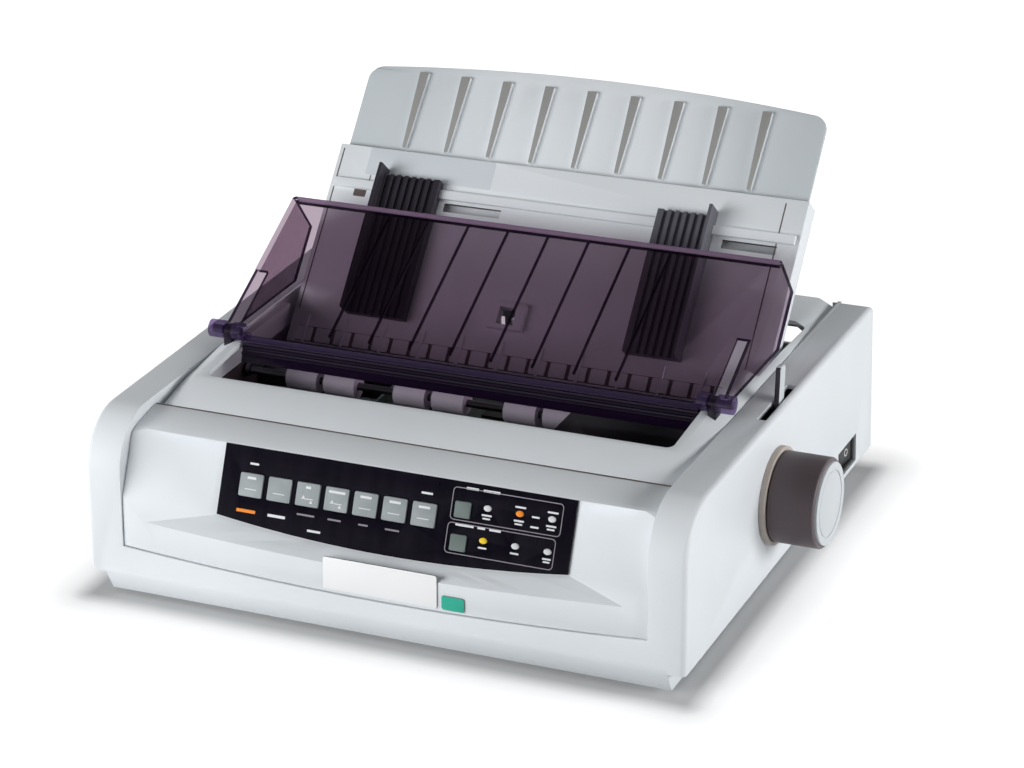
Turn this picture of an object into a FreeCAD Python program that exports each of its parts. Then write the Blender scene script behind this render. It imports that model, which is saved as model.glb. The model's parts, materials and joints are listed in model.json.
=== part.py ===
import FreeCAD, Part
import math
import os

# A desktop dot matrix printer, in millimetres. While it is modelled, x runs to the right from the
# middle of the body, y runs backwards from the front face and z runs up from the desk. The finished
# pieces are moved so that the origin is the middle of the whole printer's footprint.

V = FreeCAD.Vector

# Driving sizes of the printer
body_width = 398.0
body_depth = 345.0
body_height = 118.0
foot_height = 3.5
wall = 3.0
overrun = 5.0
seat_gap = 0.3
slide_gap = 0.4
bearing_clearance = 0.05
half_body = body_width / 2

# Main places
plinth_top = 17.5
fin_width = 24.0
centre_half_width = half_body - fin_width
groove = 0.6
frame_side_gap = 3.2
frame_thickness = 1.6
frame_outer_x = centre_half_width - frame_side_gap
frame_inner_x = frame_outer_x - frame_thickness
floor_top = foot_height + wall
platen_drop = 52.0
platen_y = 155.0
platen_z = body_height - platen_drop
platen_radius = 19.0
platen_shaft_radius = 5.0
carriage_reach = 55.0
carriage_drop = 18.0
carriage_shaft_y = platen_y - carriage_reach
carriage_shaft_z = platen_z - carriage_drop
carriage_shaft_radius = 6.0
separator_angle = 48.3
separator_reach = 152.5
separator_rise = 81.0
separator_y = platen_y + separator_reach
separator_z = body_height + separator_rise
tiny = 1e-6


# Helpers

def box(x0, x1, y0, y1, z0, z1):
    return Part.makeBox(x1 - x0, y1 - y0, z1 - z0, V(x0, y0, z0))


def rod_x(x0, x1, y, z, radius):
    return Part.makeCylinder(radius, x1 - x0, V(x0, y, z), V(1, 0, 0))


def rod_y(y0, y1, x, z, radius):
    return Part.makeCylinder(radius, y1 - y0, V(x, y0, z), V(0, 1, 0))


def rod_z(z0, z1, x, y, radius):
    return Part.makeCylinder(radius, z1 - z0, V(x, y, z0), V(0, 0, 1))


def outline(corners):
    """A closed wire through corners (a, b, radius), each rounded by a tangent arc."""
    points = [V(a, b, 0) for a, b, _ in corners]
    count = len(points)
    starts = []
    ends = []
    arcs = []
    for i in range(count):
        here = points[i]
        radius = corners[i][2]
        if radius == 0:
            starts.append(here)
            ends.append(here)
            arcs.append(None)
            continue
        back = (points[i - 1] - here).normalize()
        ahead = (points[(i + 1) % count] - here).normalize()
        half = back.getAngle(ahead) / 2
        reach = radius / math.tan(half)
        inward = (back + ahead).normalize()
        middle = here + inward * (radius / math.sin(half) - radius)
        starts.append(here + back * reach)
        ends.append(here + ahead * reach)
        arcs.append(Part.Arc(starts[i], middle, ends[i]).toShape())
    edges = []
    for i in range(count):
        if arcs[i] is not None:
            edges.append(arcs[i])
        following = starts[(i + 1) % count]
        if (following - ends[i]).Length > tiny:
            edges.append(Part.makeLine(ends[i], following))
    return Part.Wire(Part.__sortEdges__(edges))


def sharp(points):
    return [(a, b, 0) for a, b in points]


def prism_z(corners, z0, z1):
    solid = Part.Face(outline(corners)).extrude(V(0, 0, z1 - z0))
    solid.translate(V(0, 0, z0))
    return solid


def prism_x(corners, x0, x1):
    """A prism along x whose outline is given as (y, z, radius)."""
    solid = Part.Face(outline(corners)).extrude(V(0, 0, x1 - x0))
    turn = FreeCAD.Rotation(V(0, 1, 0), V(0, 0, 1), V(1, 0, 0), "XYZ")
    return solid.transformed(FreeCAD.Placement(V(x0, 0, 0), turn).toMatrix())


def prism_y(corners, y0, y1):
    """A prism along y whose outline is given as (x, z, radius)."""
    solid = Part.Face(outline(corners)).extrude(V(0, 0, y1 - y0))
    turn = FreeCAD.Rotation(V(1, 0, 0), V(0, 0, 1), V(0, -1, 0), "XYZ")
    return solid.transformed(FreeCAD.Placement(V(0, y1, 0), turn).toMatrix())


def round_box(x0, x1, y0, y1, z0, z1, radius):
    corners = [(x0, y0, radius), (x1, y0, radius), (x1, y1, radius), (x0, y1, radius)]
    return prism_z(corners, z0, z1)


def tilted(shape, angle, y, z):
    """Moves a shape drawn as (x, up the slope, out of the slope) onto a sloping plane."""
    turned = shape.copy()
    turned.rotate(V(0, 0, 0), V(1, 0, 0), angle)
    turned.translate(V(0, y, z))
    return turned


def on_slope(angle, y, z, up, out):
    """The y and z of a point on a sloping plane."""
    c = math.cos(math.radians(angle))
    s = math.sin(math.radians(angle))
    return y + up * c - out * s, z + up * s + out * c


def mirrored(shape):
    return shape.mirror(V(0, 0, 0), V(1, 0, 0))


def both_sides(shape):
    return [shape, mirrored(shape)]


# Lower case: side fins, front skirt, rear wall and plinth in one moulding
front_lean = 6.1
nose_radius = 36.0
fin_edge_radius = 3.5
plinth_inset = 11.0
plinth_toe = 7.0
lip_thickness = 2.5
lip_depth = 14.0
crease_low = 30.0
crease_bow = 6.7
paper_slot_depth = 34.0
paper_slot_z = body_height - paper_slot_depth
shaft_hole_radius = 8.0
switch_length = 36.0
switch_rear_gap = 32.0
switch_y1 = body_depth - switch_rear_gap
switch_y0 = switch_y1 - switch_length
switch_z0 = 20.5
switch_z1 = 40.0
lever_slot_inset = 4.0
lever_slot_width = 6.0
lever_slot_lead = 6.0
lever_slot_length = 56.0
lever_slot_x1 = half_body - lever_slot_inset
lever_slot_x0 = lever_slot_x1 - lever_slot_width
lever_slot_y0 = platen_y - lever_slot_lead
lever_slot_y1 = lever_slot_y0 + lever_slot_length
inlet_side_gap = 49.0
inlet_x = half_body - inlet_side_gap
inlet_z = 42.0
inlet_width = 27.6
inlet_height = 20.0
port_z = 44.0
parallel_gap = 70.0
parallel_x = inlet_x - parallel_gap
parallel_width = 52.0
parallel_height = 12.0
usb_gap = 48.0
usb_x = parallel_x - usb_gap
usb_width = 12.4
usb_height = 11.4
vent_count = 14
vent_pitch = 9.0
vent_width = 4.0
vent_x = -150.0
vent_z0 = 34.0
vent_drop = 44.0
vent_z1 = body_height - vent_drop
side_vent_count = 9
side_vent_reach = 115.0
side_vent_y = body_depth - side_vent_reach
screw_hole_radius = 2.1
screw_x = half_body - fin_width / 2
screw_low_z = 32.0
screw_drop = 18.0
screw_high_z = body_height - screw_drop


def side_profile(inset):
    """The side view of the body, drawn in by the given inset."""
    low = plinth_top + inset
    high = body_height - inset
    front = (inset, low, 0)
    nose = (front_lean + inset, high, nose_radius - inset)
    return [front, nose, (body_depth - inset, high, 0), (body_depth - inset, low, 0)]


def plinth(inset, top):
    """The base under the body, which tapers in towards the desk at the front and the rear."""
    low = foot_height + inset
    side = half_body - plinth_inset - inset
    front = inset
    toe = plinth_toe + inset
    corners = [(front, plinth_top), (toe, low), (body_depth - toe, low), (body_depth - front, plinth_top)]
    corners += [(body_depth - front, top), (front, top)]
    return prism_x(sharp(corners), -side, side)


def bowed_outline(half_width, low, high, bow):
    """A rectangle whose lower edge bows down in the middle."""
    a = V(-half_width, low, 0)
    b = V(half_width, low, 0)
    c = V(half_width, high, 0)
    d = V(-half_width, high, 0)
    arc = Part.Arc(a, V(0, low - bow, 0), b).toShape()
    return Part.Wire([arc, Part.makeLine(b, c), Part.makeLine(c, d), Part.makeLine(d, a)])


def above_crease(gap):
    """The space over the bowed seam between the front skirt and the front panel."""
    low = crease_low + crease_bow + gap
    wire = bowed_outline(centre_half_width - gap, low, body_height + overrun, crease_bow)
    solid = Part.Face(wire).extrude(V(0, 0, body_depth - wall + overrun))
    turn = FreeCAD.Rotation(V(1, 0, 0), V(0, 0, 1), V(0, -1, 0), "XYZ")
    return solid.transformed(FreeCAD.Placement(V(0, body_depth - wall, 0), turn).toMatrix())


def fin_edges(solid):
    """The outer edges of both side faces, from the front foot to the rear end of the flat top."""
    chosen = []
    for edge in solid.Edges:
        ends = [v.Point for v in edge.Vertexes]
        outer = all(abs(abs(p.x) - half_body) < tiny for p in ends)
        along_top = all(abs(p.z - body_height) < tiny for p in ends)
        at_front = all(p.y < nose_radius + front_lean + overrun for p in ends)
        at_foot = all(abs(p.z - plinth_top) < tiny for p in ends)
        if outer and (along_top or at_front) and not at_foot:
            chosen.append(edge)
    return chosen


def lower_case():
    body = prism_x(side_profile(0), -half_body, half_body)
    body = body.makeFillet(fin_edge_radius, fin_edges(body))
    body = body.fuse(plinth(0, plinth_top + wall))
    hollow = prism_x(side_profile(wall), wall - half_body, half_body - wall)
    hollow = hollow.fuse(plinth(wall, plinth_top + wall + overrun))
    lip = prism_x(side_profile(0), centre_half_width, centre_half_width + lip_thickness)
    lip = lip.cut(prism_x(side_profile(lip_depth), centre_half_width - overrun, half_body))
    lip = lip.cut(box(0, half_body, -overrun, body_depth, -overrun, crease_low))
    lip = lip.cut(box(0, half_body, lip_depth, body_depth - lip_depth, 0, body_height / 2))
    case = body.cut(hollow).fuse(both_sides(lip) + [idler_post()])
    case = case.cut(above_crease(0))
    rear = body_depth - wall - overrun
    cuts = [box(-centre_half_width + wall, centre_half_width - wall, rear, body_depth + overrun,
                paper_slot_z, body_height + overrun)]
    outside = half_body + overrun
    inside = half_body - wall - overrun
    cuts.append(rod_x(inside, outside, platen_y, platen_z, shaft_hole_radius))
    cuts.append(box(inside, outside, switch_y0, switch_y1, switch_z0, switch_z1))
    cuts.append(box(lever_slot_x0, lever_slot_x1, lever_slot_y0, lever_slot_y1,
                    body_height - wall - overrun, body_height + overrun))
    for x, z, width, height in [(inlet_x, inlet_z, inlet_width, inlet_height),
                                (parallel_x, port_z, parallel_width, parallel_height),
                                (usb_x, port_z, usb_width, usb_height)]:
        cuts.append(box(x - width / 2, x + width / 2, rear, body_depth + overrun,
                        z - height / 2, z + height / 2))
    for i in range(vent_count):
        x = vent_x + i * vent_pitch
        cuts.append(box(x, x + vent_width, rear, body_depth + overrun, vent_z0, vent_z1))
    for i in range(side_vent_count):
        y = side_vent_y + i * vent_pitch
        cuts.append(box(-outside, -inside, y, y + vent_width, vent_z0, vent_z1))
    for x in (-screw_x, screw_x):
        for z in (screw_low_z, screw_high_z):
            cuts.append(rod_y(rear, body_depth + overrun, x, z, screw_hole_radius))
    return case.cut(cuts)


# Rubber feet
foot_radius = 9.0
foot_inset = 34.0
foot_x = half_body - foot_inset
foot_front_y = 32.0
foot_rear_gap = 33.0
foot_rear_y = body_depth - foot_rear_gap


def feet():
    pads = []
    for x in (-foot_x, foot_x):
        for y in (foot_front_y, foot_rear_y):
            pads.append(rod_z(0, foot_height, x, y, foot_radius))
    return Part.makeCompound(pads)


# Case screws in the rear of the fins
screw_head_radius = 3.8
screw_head_height = 2.2
screw_shank_radius = 2.0
screw_length = 12.0


def case_screws():
    screws = []
    for x in (-screw_x, screw_x):
        for z in (screw_low_z, screw_high_z):
            head = rod_y(body_depth, body_depth + screw_head_height, x, z, screw_head_radius)
            shank = rod_y(body_depth - screw_length, body_depth, x, z, screw_shank_radius)
            screws.append(head.fuse(shank))
    return Part.makeCompound(screws)


# Front panel: the insert between the fins, scooped out around the operator panel
panel_side = centre_half_width - groove
panel_foot_y = 1.6
panel_nose_y = 6.9
panel_nose_drop = 13.0
panel_nose_z = body_height - panel_nose_drop
panel_nose_radius = 30.0
seam_y = 52.0
seam_drop = 5.0
seam_z = body_height - seam_drop
operator_angle = 65.4
operator_y = 19.4
operator_z = 60.8
operator_half_width = 117.2
operator_height = 44.8
operator_bow = 7.4
operator_thickness = 2.0
operator_gap = 0.5
scoop_height = 30.0
scoop_side_spread = 95.0
scoop_low_spread = 26.0
window_half_width = 107.0
window_low = 1.0
window_high = 41.5
post_radius = 3.0
post_x = 112.0
post_low = 4.0
board_depth = 12.0
board_thickness = 1.6


def on_operator(shape):
    return tilted(shape, operator_angle, operator_y, operator_z)


def scoop(skin):
    """The flared hollow around the operator panel, drawn out by the thickness of its skin."""
    half_width = operator_half_width + operator_gap + skin
    low = -operator_gap - skin
    high = operator_height + operator_gap + skin
    inner = bowed_outline(half_width, low, high, operator_bow)
    inner.translate(V(0, 0, -operator_thickness - skin))
    outer = bowed_outline(half_width + scoop_side_spread, low - scoop_low_spread, high, operator_bow)
    outer.translate(V(0, 0, scoop_height))
    return on_operator(Part.makeLoft([inner, outer], True, True))


def front_solid(inset, back):
    """The filled front panel, drawn in by the given inset."""
    low = crease_low - inset - overrun
    foot = (panel_foot_y + inset, low, 0)
    nose = (panel_nose_y + inset, panel_nose_z - inset, panel_nose_radius - inset)
    corners = [foot, nose, (back, seam_z - inset, 0), (back, low, 0)]
    side = panel_side - inset
    return prism_x(corners, -side, side)


def front_panel():
    outer = front_solid(0, seam_y - groove / 2)
    shell = outer.cut(front_solid(wall, seam_y + overrun))
    shell = shell.fuse(scoop(wall).common(outer)).cut(scoop(0))
    shell = shell.common(above_crease(groove))
    floor = -operator_thickness - wall
    window = box(-window_half_width, window_half_width, window_low, window_high, floor - tiny, 0)
    posts = []
    for x in (-post_x, post_x):
        for up in (post_low, window_high - post_radius):
            posts.append(rod_z(-board_depth, floor + wall / 2, x, up, post_radius))
    return shell.cut(on_operator(window)).fuse([on_operator(post) for post in posts])


# Operator panel with its keys and lamps
key_count = 7
key_x = -96.0
key_pitch = 19.5
key_up = 21.0
key_width = 15.8
key_height = 14.5
small_key_x = 45.6
small_key_high = 27.7
small_key_low = 7.7
small_key_width = 10.5
small_key_height = 10.0
key_radius = 1.0
key_rise = 1.2
key_clearance = 0.25
key_flange = 1.2
key_flange_thickness = 1.1
key_stem_radius = 2.5
key_travel = 1.2
switch_top = 8.4
switch_half_width = 5.0
stem_gap = 0.15
lamp_radius = 1.6
lamp_rise = 0.3
lamp_first_x = 61.3
lamp_pitch = 20.9
lamp_columns = 3
lamp_high = 30.9
lamp_low = 11.4


def key_places():
    """The middle and the size of every key on the slope of the operator panel."""
    places = {}
    for i in range(key_count):
        places["key_" + str(i + 1)] = (key_x + i * key_pitch, key_up, key_width, key_height)
    places["quality_key"] = (small_key_x, small_key_high, small_key_width, small_key_height)
    places["pitch_key"] = (small_key_x, small_key_low, small_key_width, small_key_height)
    return places


def lamp_places():
    columns = [lamp_first_x + i * lamp_pitch for i in range(lamp_columns)]
    return [(x, up) for x in columns for up in (lamp_high, lamp_low)]


def key_block(place, grow, low, high):
    """A rounded block at a key's place, grown all round."""
    x, up, width, height = place
    half_x = width / 2 + grow
    half_up = height / 2 + grow
    return round_box(x - half_x, x + half_x, up - half_up, up + half_up, low, high, key_radius)


def operator_plate():
    face = Part.Face(bowed_outline(operator_half_width, 0, operator_height, operator_bow))
    plate = face.extrude(V(0, 0, operator_thickness))
    plate.translate(V(0, 0, -operator_thickness))
    for place in key_places().values():
        plate = plate.cut(key_block(place, key_clearance, -overrun, overrun))
    for x, up in lamp_places():
        plate = plate.cut(rod_z(-overrun, overrun, x, up, lamp_radius + bearing_clearance))
    return on_operator(plate)


def panel_key(place):
    x, up, _, _ = place
    flange_top = -operator_thickness - seat_gap
    cap = key_block(place, 0, flange_top, key_rise)
    flange = key_block(place, key_flange, flange_top - key_flange_thickness, flange_top)
    stem = rod_z(-switch_top + key_travel + stem_gap, flange_top, x, up, key_stem_radius)
    return on_operator(cap.fuse([flange, stem]))


def panel_board():
    half_width = post_x + post_radius
    board = box(-half_width, half_width, window_low, window_high,
                -board_depth - board_thickness, -board_depth)
    parts = []
    for place in key_places().values():
        x, up, _, _ = place
        half = switch_half_width
        parts.append(box(x - half, x + half, up - half, up + half, -board_depth, -switch_top))
    return on_operator(board.fuse(parts))


def panel_lamps():
    return on_operator(Part.makeCompound([rod_z(-board_depth, lamp_rise, x, up, lamp_radius)
                                          for x, up in lamp_places()]))


# Bare plates on the front
name_x0 = -36.0
name_x1 = 40.0
name_z0 = 33.0
name_z1 = 54.0
green_x0 = 43.0
green_x1 = 58.0
green_z0 = 33.0
green_z1 = 42.0
plate_rise = 0.9
plate_radius = 1.5


def front_plate(x0, x1, z0, z1):
    """A thin plate that follows the lean of the front panel."""
    corners = [(x, z, plate_radius) for x, z in ((x0, z0), (x1, z0), (x1, z1), (x0, z1))]
    plate = prism_y(corners, -overrun, panel_nose_y)
    shift = front_solid(0, seam_y)
    skin = shift.copy()
    skin.translate(V(0, -plate_rise, 0))
    return plate.common(skin).cut(shift)


# Top cover: the deck, with the wide opening over the platen and a bright sloping shoulder
deck_side = centre_half_width - groove
shoulder_width = 12.0
shoulder_x = centre_half_width - shoulder_width
shoulder_drop = 6.0
deck_rise = 6.0
deck_front_rise = 2.2
deck_rear_rise = 2.0
deck_depth = 25.7
deck_z = body_height + deck_rise
deck_bottom = deck_z - deck_depth
deck_front_rise_y = 90.0
deck_front_rise_z = body_height + deck_front_rise
deck_rear_z = body_height + deck_rear_rise
deck_rear_bend = 95.0
deck_rear_bend_y = body_depth - deck_rear_bend
deck_bend_radius = 100.0
opening_margin = 17.3
opening_half_width = centre_half_width - opening_margin
opening_reach = 67.0
opening_front_y = platen_y - opening_reach
opening_step = 49.0
opening_step_y = platen_y + opening_step
opening_wide = frame_inner_x - seat_gap
opening_rear_gap = 51.0
opening_rear_y = body_depth - opening_rear_gap
opening_radius = 5.0
opening_lip = 2.5
opening_lip_depth = 4.0
opening_lip_z = deck_z - opening_lip_depth
ear_reach = 18.0
ear_rise = 6.3
ear_y = platen_y - ear_reach
deck_y = ear_y
ear_z = deck_z + ear_rise
ear_radius = 5.8
ear_pin_radius = 2.6
ear_post_inset = 6.6
ear_post_width = 5.2
ear_post_x1 = centre_half_width - ear_post_inset
ear_post_x0 = ear_post_x1 - ear_post_width
ear_pin_x0 = ear_post_x0 - ear_post_width
ear_pin_x1 = centre_half_width + opening_lip
ear_post_radius = 4.6


def deck_profile(drop, inset, bottom):
    top = [(seam_y + groove + inset, seam_z, 0), (deck_front_rise_y, deck_front_rise_z, deck_bend_radius),
           (deck_y, deck_z, deck_bend_radius), (deck_rear_bend_y, deck_z, deck_bend_radius),
           (body_depth - wall - groove - inset, deck_rear_z, 0)]
    corners = [(y, z - drop - inset, radius) for y, z, radius in top]
    corners.append((body_depth - wall - groove - inset, bottom, 0))
    corners.append((seam_y + groove + inset, bottom, 0))
    return corners


def wire_at(corners, x):
    wire = outline(corners)
    turn = FreeCAD.Rotation(V(0, 1, 0), V(0, 0, 1), V(1, 0, 0), "XYZ")
    return wire.transformed(FreeCAD.Placement(V(x, 0, 0), turn).toMatrix())


def deck_solid(inset, bottom):
    """The filled deck: flat between the shoulders, sloping down to the grooves beside them."""
    middle = prism_x(deck_profile(0, inset, bottom), -shoulder_x, shoulder_x)
    high = wire_at(deck_profile(0, inset, bottom), shoulder_x)
    low = wire_at(deck_profile(shoulder_drop, inset, bottom), deck_side - inset)
    slope = Part.makeLoft([high, low], True, True)
    return middle.fuse(both_sides(slope))


def top_cover():
    solid = deck_solid(0, deck_bottom)
    shell = solid.cut(deck_solid(wall, deck_bottom - overrun))
    low = deck_bottom - 2 * overrun
    high = deck_z + overrun
    front_hole = round_box(-opening_half_width, opening_half_width, opening_front_y,
                           opening_step_y + 2 * opening_radius, low, high, opening_radius)
    rear_hole = round_box(-opening_wide, opening_wide, opening_step_y, opening_rear_y, low, high,
                          opening_lip)
    outer = opening_half_width + opening_lip
    lip = round_box(-outer, outer, opening_front_y - opening_lip, opening_rear_y + opening_lip,
                    opening_lip_z, high, opening_radius)
    lip = lip.cut(box(-half_body, half_body, opening_step_y - opening_lip, opening_rear_y, low, high))
    shell = shell.fuse(lip.common(solid)).cut([front_hole, rear_hole])
    post = rod_x(ear_post_x0, ear_post_x1, ear_y, ear_z, ear_post_radius)
    foot = box(ear_post_x0, ear_post_x1, ear_y - ear_post_radius, ear_y + ear_post_radius,
               deck_z - shoulder_drop, ear_z)
    pin = rod_x(ear_pin_x0, ear_pin_x1, ear_y, ear_z, ear_pin_radius)
    post = post.fuse([foot, pin])
    return shell.fuse(both_sides(post))


# Smoked access cover, hinged in the two ears at its front corners
cover_angle = 27.3
cover_drop = 2.3
cover_y = ear_y
cover_z = ear_z - cover_drop
cover_length = 121.0
cover_side_gap = 3.0
cover_half_width = centre_half_width - cover_side_gap
cover_thickness = 2.5
cheek_thickness = 2.2
cheek_clearance = 1.6
cheek_bottom_z = deck_z + cheek_clearance
cheek_reach_share = 1.05
cheek_heel_share = 0.83
cheek_rise = 31.0
cheek_rear_y = cover_y + cheek_reach_share * cover_length
cheek_rear_z = deck_z + cheek_rise
cheek_heel_y = cover_y + cheek_heel_share * cover_length
notch_width = 9.2
notch_x = cover_half_width - notch_width
notch_length = 55.0
lip_margin = 1.7
lip_half_width = opening_half_width - lip_margin
cover_lip_lead = 6.0
cover_lip_drop = 16.0
cover_lip_y = cover_y - cover_lip_lead
cover_lip_z = cover_z - cover_lip_drop
cover_rib_count = 8
cover_rib_x = -101.0
cover_rib_pitch = 28.2
cover_rib_width = 1.3
cover_rib_height = 1.6
cover_rib_start = 11.0
cover_rim = 2.4
bar_radius = 1.1
bar_count = 3
bar_share = 0.22
knuckle_overhang = 1.6
knuckle_x0 = ear_pin_x0 - knuckle_overhang
knuckle_x1 = ear_pin_x1 + knuckle_overhang
knuckle_gap = 0.5


def on_cover(shape):
    return tilted(shape, cover_angle, cover_y, cover_z)


def access_cover():
    panel = round_box(-cover_half_width, cover_half_width, 0, cover_length, -cover_thickness, 0, cover_rim)
    rim = box(-cover_half_width + cover_rim, cover_half_width - cover_rim, cover_length - cover_rim,
              cover_length, -2 * cover_thickness, -cover_thickness)
    ribs = []
    for i in range(cover_rib_count):
        x = cover_rib_x + i * cover_rib_pitch
        ribs.append(box(x, x + cover_rib_width, cover_rib_start, cover_length - cover_rim,
                        -cover_thickness - cover_rib_height, -cover_thickness))
    notch = box(notch_x, half_body, -overrun, notch_length, -2 * overrun, overrun)
    panel = on_cover(panel.fuse(ribs + [rim]).cut(both_sides(notch)))
    top_y, top_z = on_slope(cover_angle, cover_y, cover_z, cover_length - cover_rim / 2,
                            -cover_thickness / 2)
    front_y, front_z = on_slope(cover_angle, cover_y, cover_z, ear_radius / 2, 0)
    cheek = prism_x(sharp([(ear_y, cheek_bottom_z), (front_y, front_z), (top_y, top_z),
                           (cheek_rear_y, cheek_rear_z), (cheek_heel_y, cheek_bottom_z)]),
                    cover_half_width - cheek_thickness, cover_half_width)
    lip = prism_x(sharp([(cover_y, cover_z), (cover_lip_y, cover_lip_z),
                         (cover_lip_y + cover_thickness, cover_lip_z),
                         on_slope(cover_angle, cover_y, cover_z, cover_thickness, -cover_thickness)]),
                  -lip_half_width, lip_half_width)
    bars = []
    for i in range(bar_count):
        share = (i + 1) * bar_share
        y = cover_y + share * (cover_lip_y - cover_y)
        z = cover_z + share * (cover_lip_z - cover_z)
        bars.append(rod_x(-lip_half_width, lip_half_width, y, z, bar_radius))
    inner = rod_x(knuckle_x0, ear_post_x0 - knuckle_gap, ear_y, ear_z, ear_radius)
    outer = rod_x(ear_post_x1 + knuckle_gap, knuckle_x1, ear_y, ear_z, ear_radius)
    cover = panel.fuse(both_sides(cheek) + [lip] + bars + both_sides(inner) + both_sides(outer))
    bore = rod_x(knuckle_x0 - overrun, knuckle_x1 + overrun, ear_y, ear_z,
                 ear_pin_radius + bearing_clearance)
    return cover.cut(both_sides(bore))


# Paper separator: the tilting tray, its paper support and its two sheet guides
tray_foot = -142.0
tray_top = 1.0
tray_side_gap = 8.0
tray_half_width = centre_half_width - tray_side_gap
tray_thickness = 2.7
tray_wall = 2.2
tray_depth = 16.0
rail_low = -30.0
rail_high = -24.0
rail_rise = 3.0
slot_low = -38.0
slot_high = -32.0
slot_left_gap = 86.0
slot_left_width = 41.0
slot_left_x0 = -tray_half_width + slot_left_gap
slot_left_x1 = slot_left_x0 + slot_left_width
slot_right_gap = 14.0
slot_right_width = 37.0
slot_right_x1 = tray_half_width - slot_right_gap
slot_right_x0 = slot_right_x1 - slot_right_width
label_gap = 23.0
label_width = 92.0
label_x0 = -tray_half_width + label_gap
label_x1 = label_x0 + label_width
label_low = -19.0
label_rise = 0.3
tick_count = 12
tick_margin = 23.8
tick_pitch = (2 * tray_half_width - tick_margin) / (tick_count - 1)
tick_length = 20.0
tick_width = 1.6
tick_rise = 1.6
tab_x0 = -27.0
tab_x1 = -3.0
tab_low = -114.0
tab_high = -96.0
tab_rise = 5.0
tab_hole = 12.0
tray_pin_up = -134.0
tray_pin_out = -9.0
tray_pin_radius = 3.0
support_foot = -60.0
support_top = 62.5
support_bow = 8.0
support_half_width = tray_half_width - tray_wall - slide_gap
support_front = -6.0
support_thickness = 2.5
support_corner = 6.0
ridge_count = 9
ridge_pitch = 30.8
ridge_x = -123.0
ridge_low = 5.0
ridge_high = 60.5
ridge_foot_width = 3.0
ridge_head_width = 7.0
ridge_rise = 2.8
runner_low = -68.0
runner_height = 2.0
runner_width = 6.0
guide_low = -118.0
guide_high = -19.0
left_guide_gap = 38.4
left_guide_width = 43.6
left_guide_x0 = -tray_half_width + left_guide_gap
left_guide_x1 = left_guide_x0 + left_guide_width
right_guide_gap = 58.1
right_guide_width = 38.5
right_guide_x1 = tray_half_width - right_guide_gap
right_guide_x0 = right_guide_x1 - right_guide_width
guide_rise = 8.0
guide_flange_rise = 15.0
guide_flange_thickness = 2.2
guide_rib_pitch = 5.4
guide_groove_width = 2.6
guide_groove_depth = 2.4


def on_separator(shape):
    return tilted(shape, separator_angle, separator_y, separator_z)


def separator_tray():
    plate = box(-tray_half_width, tray_half_width, tray_foot, tray_top, -tray_thickness, 0)
    side = box(tray_half_width - tray_wall, tray_half_width, tray_foot, tray_top, -tray_depth, 0)
    rail = box(-support_half_width, support_half_width, rail_low, rail_high, 0, rail_rise)
    label = round_box(label_x0, label_x1, label_low, tray_top - label_rise, 0, label_rise, 2 * label_rise)
    tab = box(tab_x0, tab_x1, tab_low, tab_high, 0, tab_rise)
    pin = rod_x(tray_half_width - tray_wall, frame_outer_x, tray_pin_up, tray_pin_out, tray_pin_radius)
    back = support_front - support_thickness - slide_gap
    runner = box(tray_half_width - tray_wall - runner_width, tray_half_width - tray_wall,
                 runner_low, label_low, back - runner_height, back)
    tray = plate.fuse(both_sides(side) + both_sides(pin) + both_sides(runner) + [rail, label, tab])
    for i in range(tick_count):
        x = (i - (tick_count - 1) / 2) * tick_pitch
        tick = box(x - tick_width / 2, x + tick_width / 2, tray_foot, tray_foot + tick_length, 0, tick_rise)
        tray = tray.fuse(tick)
    cuts = [box(x0, x1, slot_low, slot_high, -tray_thickness - tiny, overrun)
            for x0, x1 in ((slot_left_x0, slot_left_x1), (slot_right_x0, slot_right_x1))]
    middle = (tab_x0 + tab_x1) / 2
    centre = (tab_low + tab_high) / 2
    reach = tab_hole / 2
    cuts.append(box(middle - reach, middle + reach, centre - reach, centre + reach,
                    -tray_thickness - tiny, tab_rise + overrun))
    return on_separator(tray.cut(cuts))


def paper_support():
    front = support_front
    back = front - support_thickness
    low = V(-support_half_width, support_foot, back)
    corner = V(-support_half_width, support_top - support_corner, back)
    shoulder = V(-support_half_width + support_corner, support_top, back)
    crown = V(0, support_top + support_bow, back)
    right = [V(-p.x, p.y, p.z) for p in (shoulder, corner, low)]
    edges = [Part.makeLine(low, corner), Part.makeLine(corner, shoulder),
             Part.Arc(shoulder, crown, right[0]).toShape(), Part.makeLine(right[0], right[1]),
             Part.makeLine(right[1], right[2]), Part.makeLine(right[2], low)]
    sheet = Part.Face(Part.Wire(edges)).extrude(V(0, 0, support_thickness))
    ridges = []
    for i in range(ridge_count):
        x = ridge_x + i * ridge_pitch
        foot = ridge_foot_width / 2
        head = ridge_head_width / 2
        corners = sharp([(x - foot, ridge_low), (x + foot, ridge_low), (x + head, ridge_high),
                         (x - head, ridge_high)])
        ridges.append(prism_z(corners, front, front + ridge_rise))
    return on_separator(sheet.fuse(ridges))


def sheet_guide(x0, x1, flange_x0):
    """A ribbed guide that slides on the rail, with a raised flange on its outer edge."""
    body = box(x0, x1, guide_low, guide_high, slide_gap, guide_rise)
    flange = box(flange_x0, flange_x0 + guide_flange_thickness, guide_low, guide_high + overrun,
                 slide_gap, guide_flange_rise)
    count = int((x1 - x0 - 2 * guide_flange_thickness) / guide_rib_pitch)
    grooves = []
    start = (x0 + x1 - count * guide_rib_pitch + guide_rib_pitch - guide_groove_width) / 2
    for i in range(count):
        x = start + i * guide_rib_pitch
        grooves.append(box(x, x + guide_groove_width, guide_low - overrun, guide_high + 2 * overrun,
                           guide_rise - guide_groove_depth, guide_rise + overrun))
    guide = body.cut(grooves).fuse(flange)
    rail = box(-half_body, half_body, rail_low - slide_gap, rail_high + slide_gap, -overrun,
               rail_rise + slide_gap)
    return on_separator(guide.cut(rail))


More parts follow.
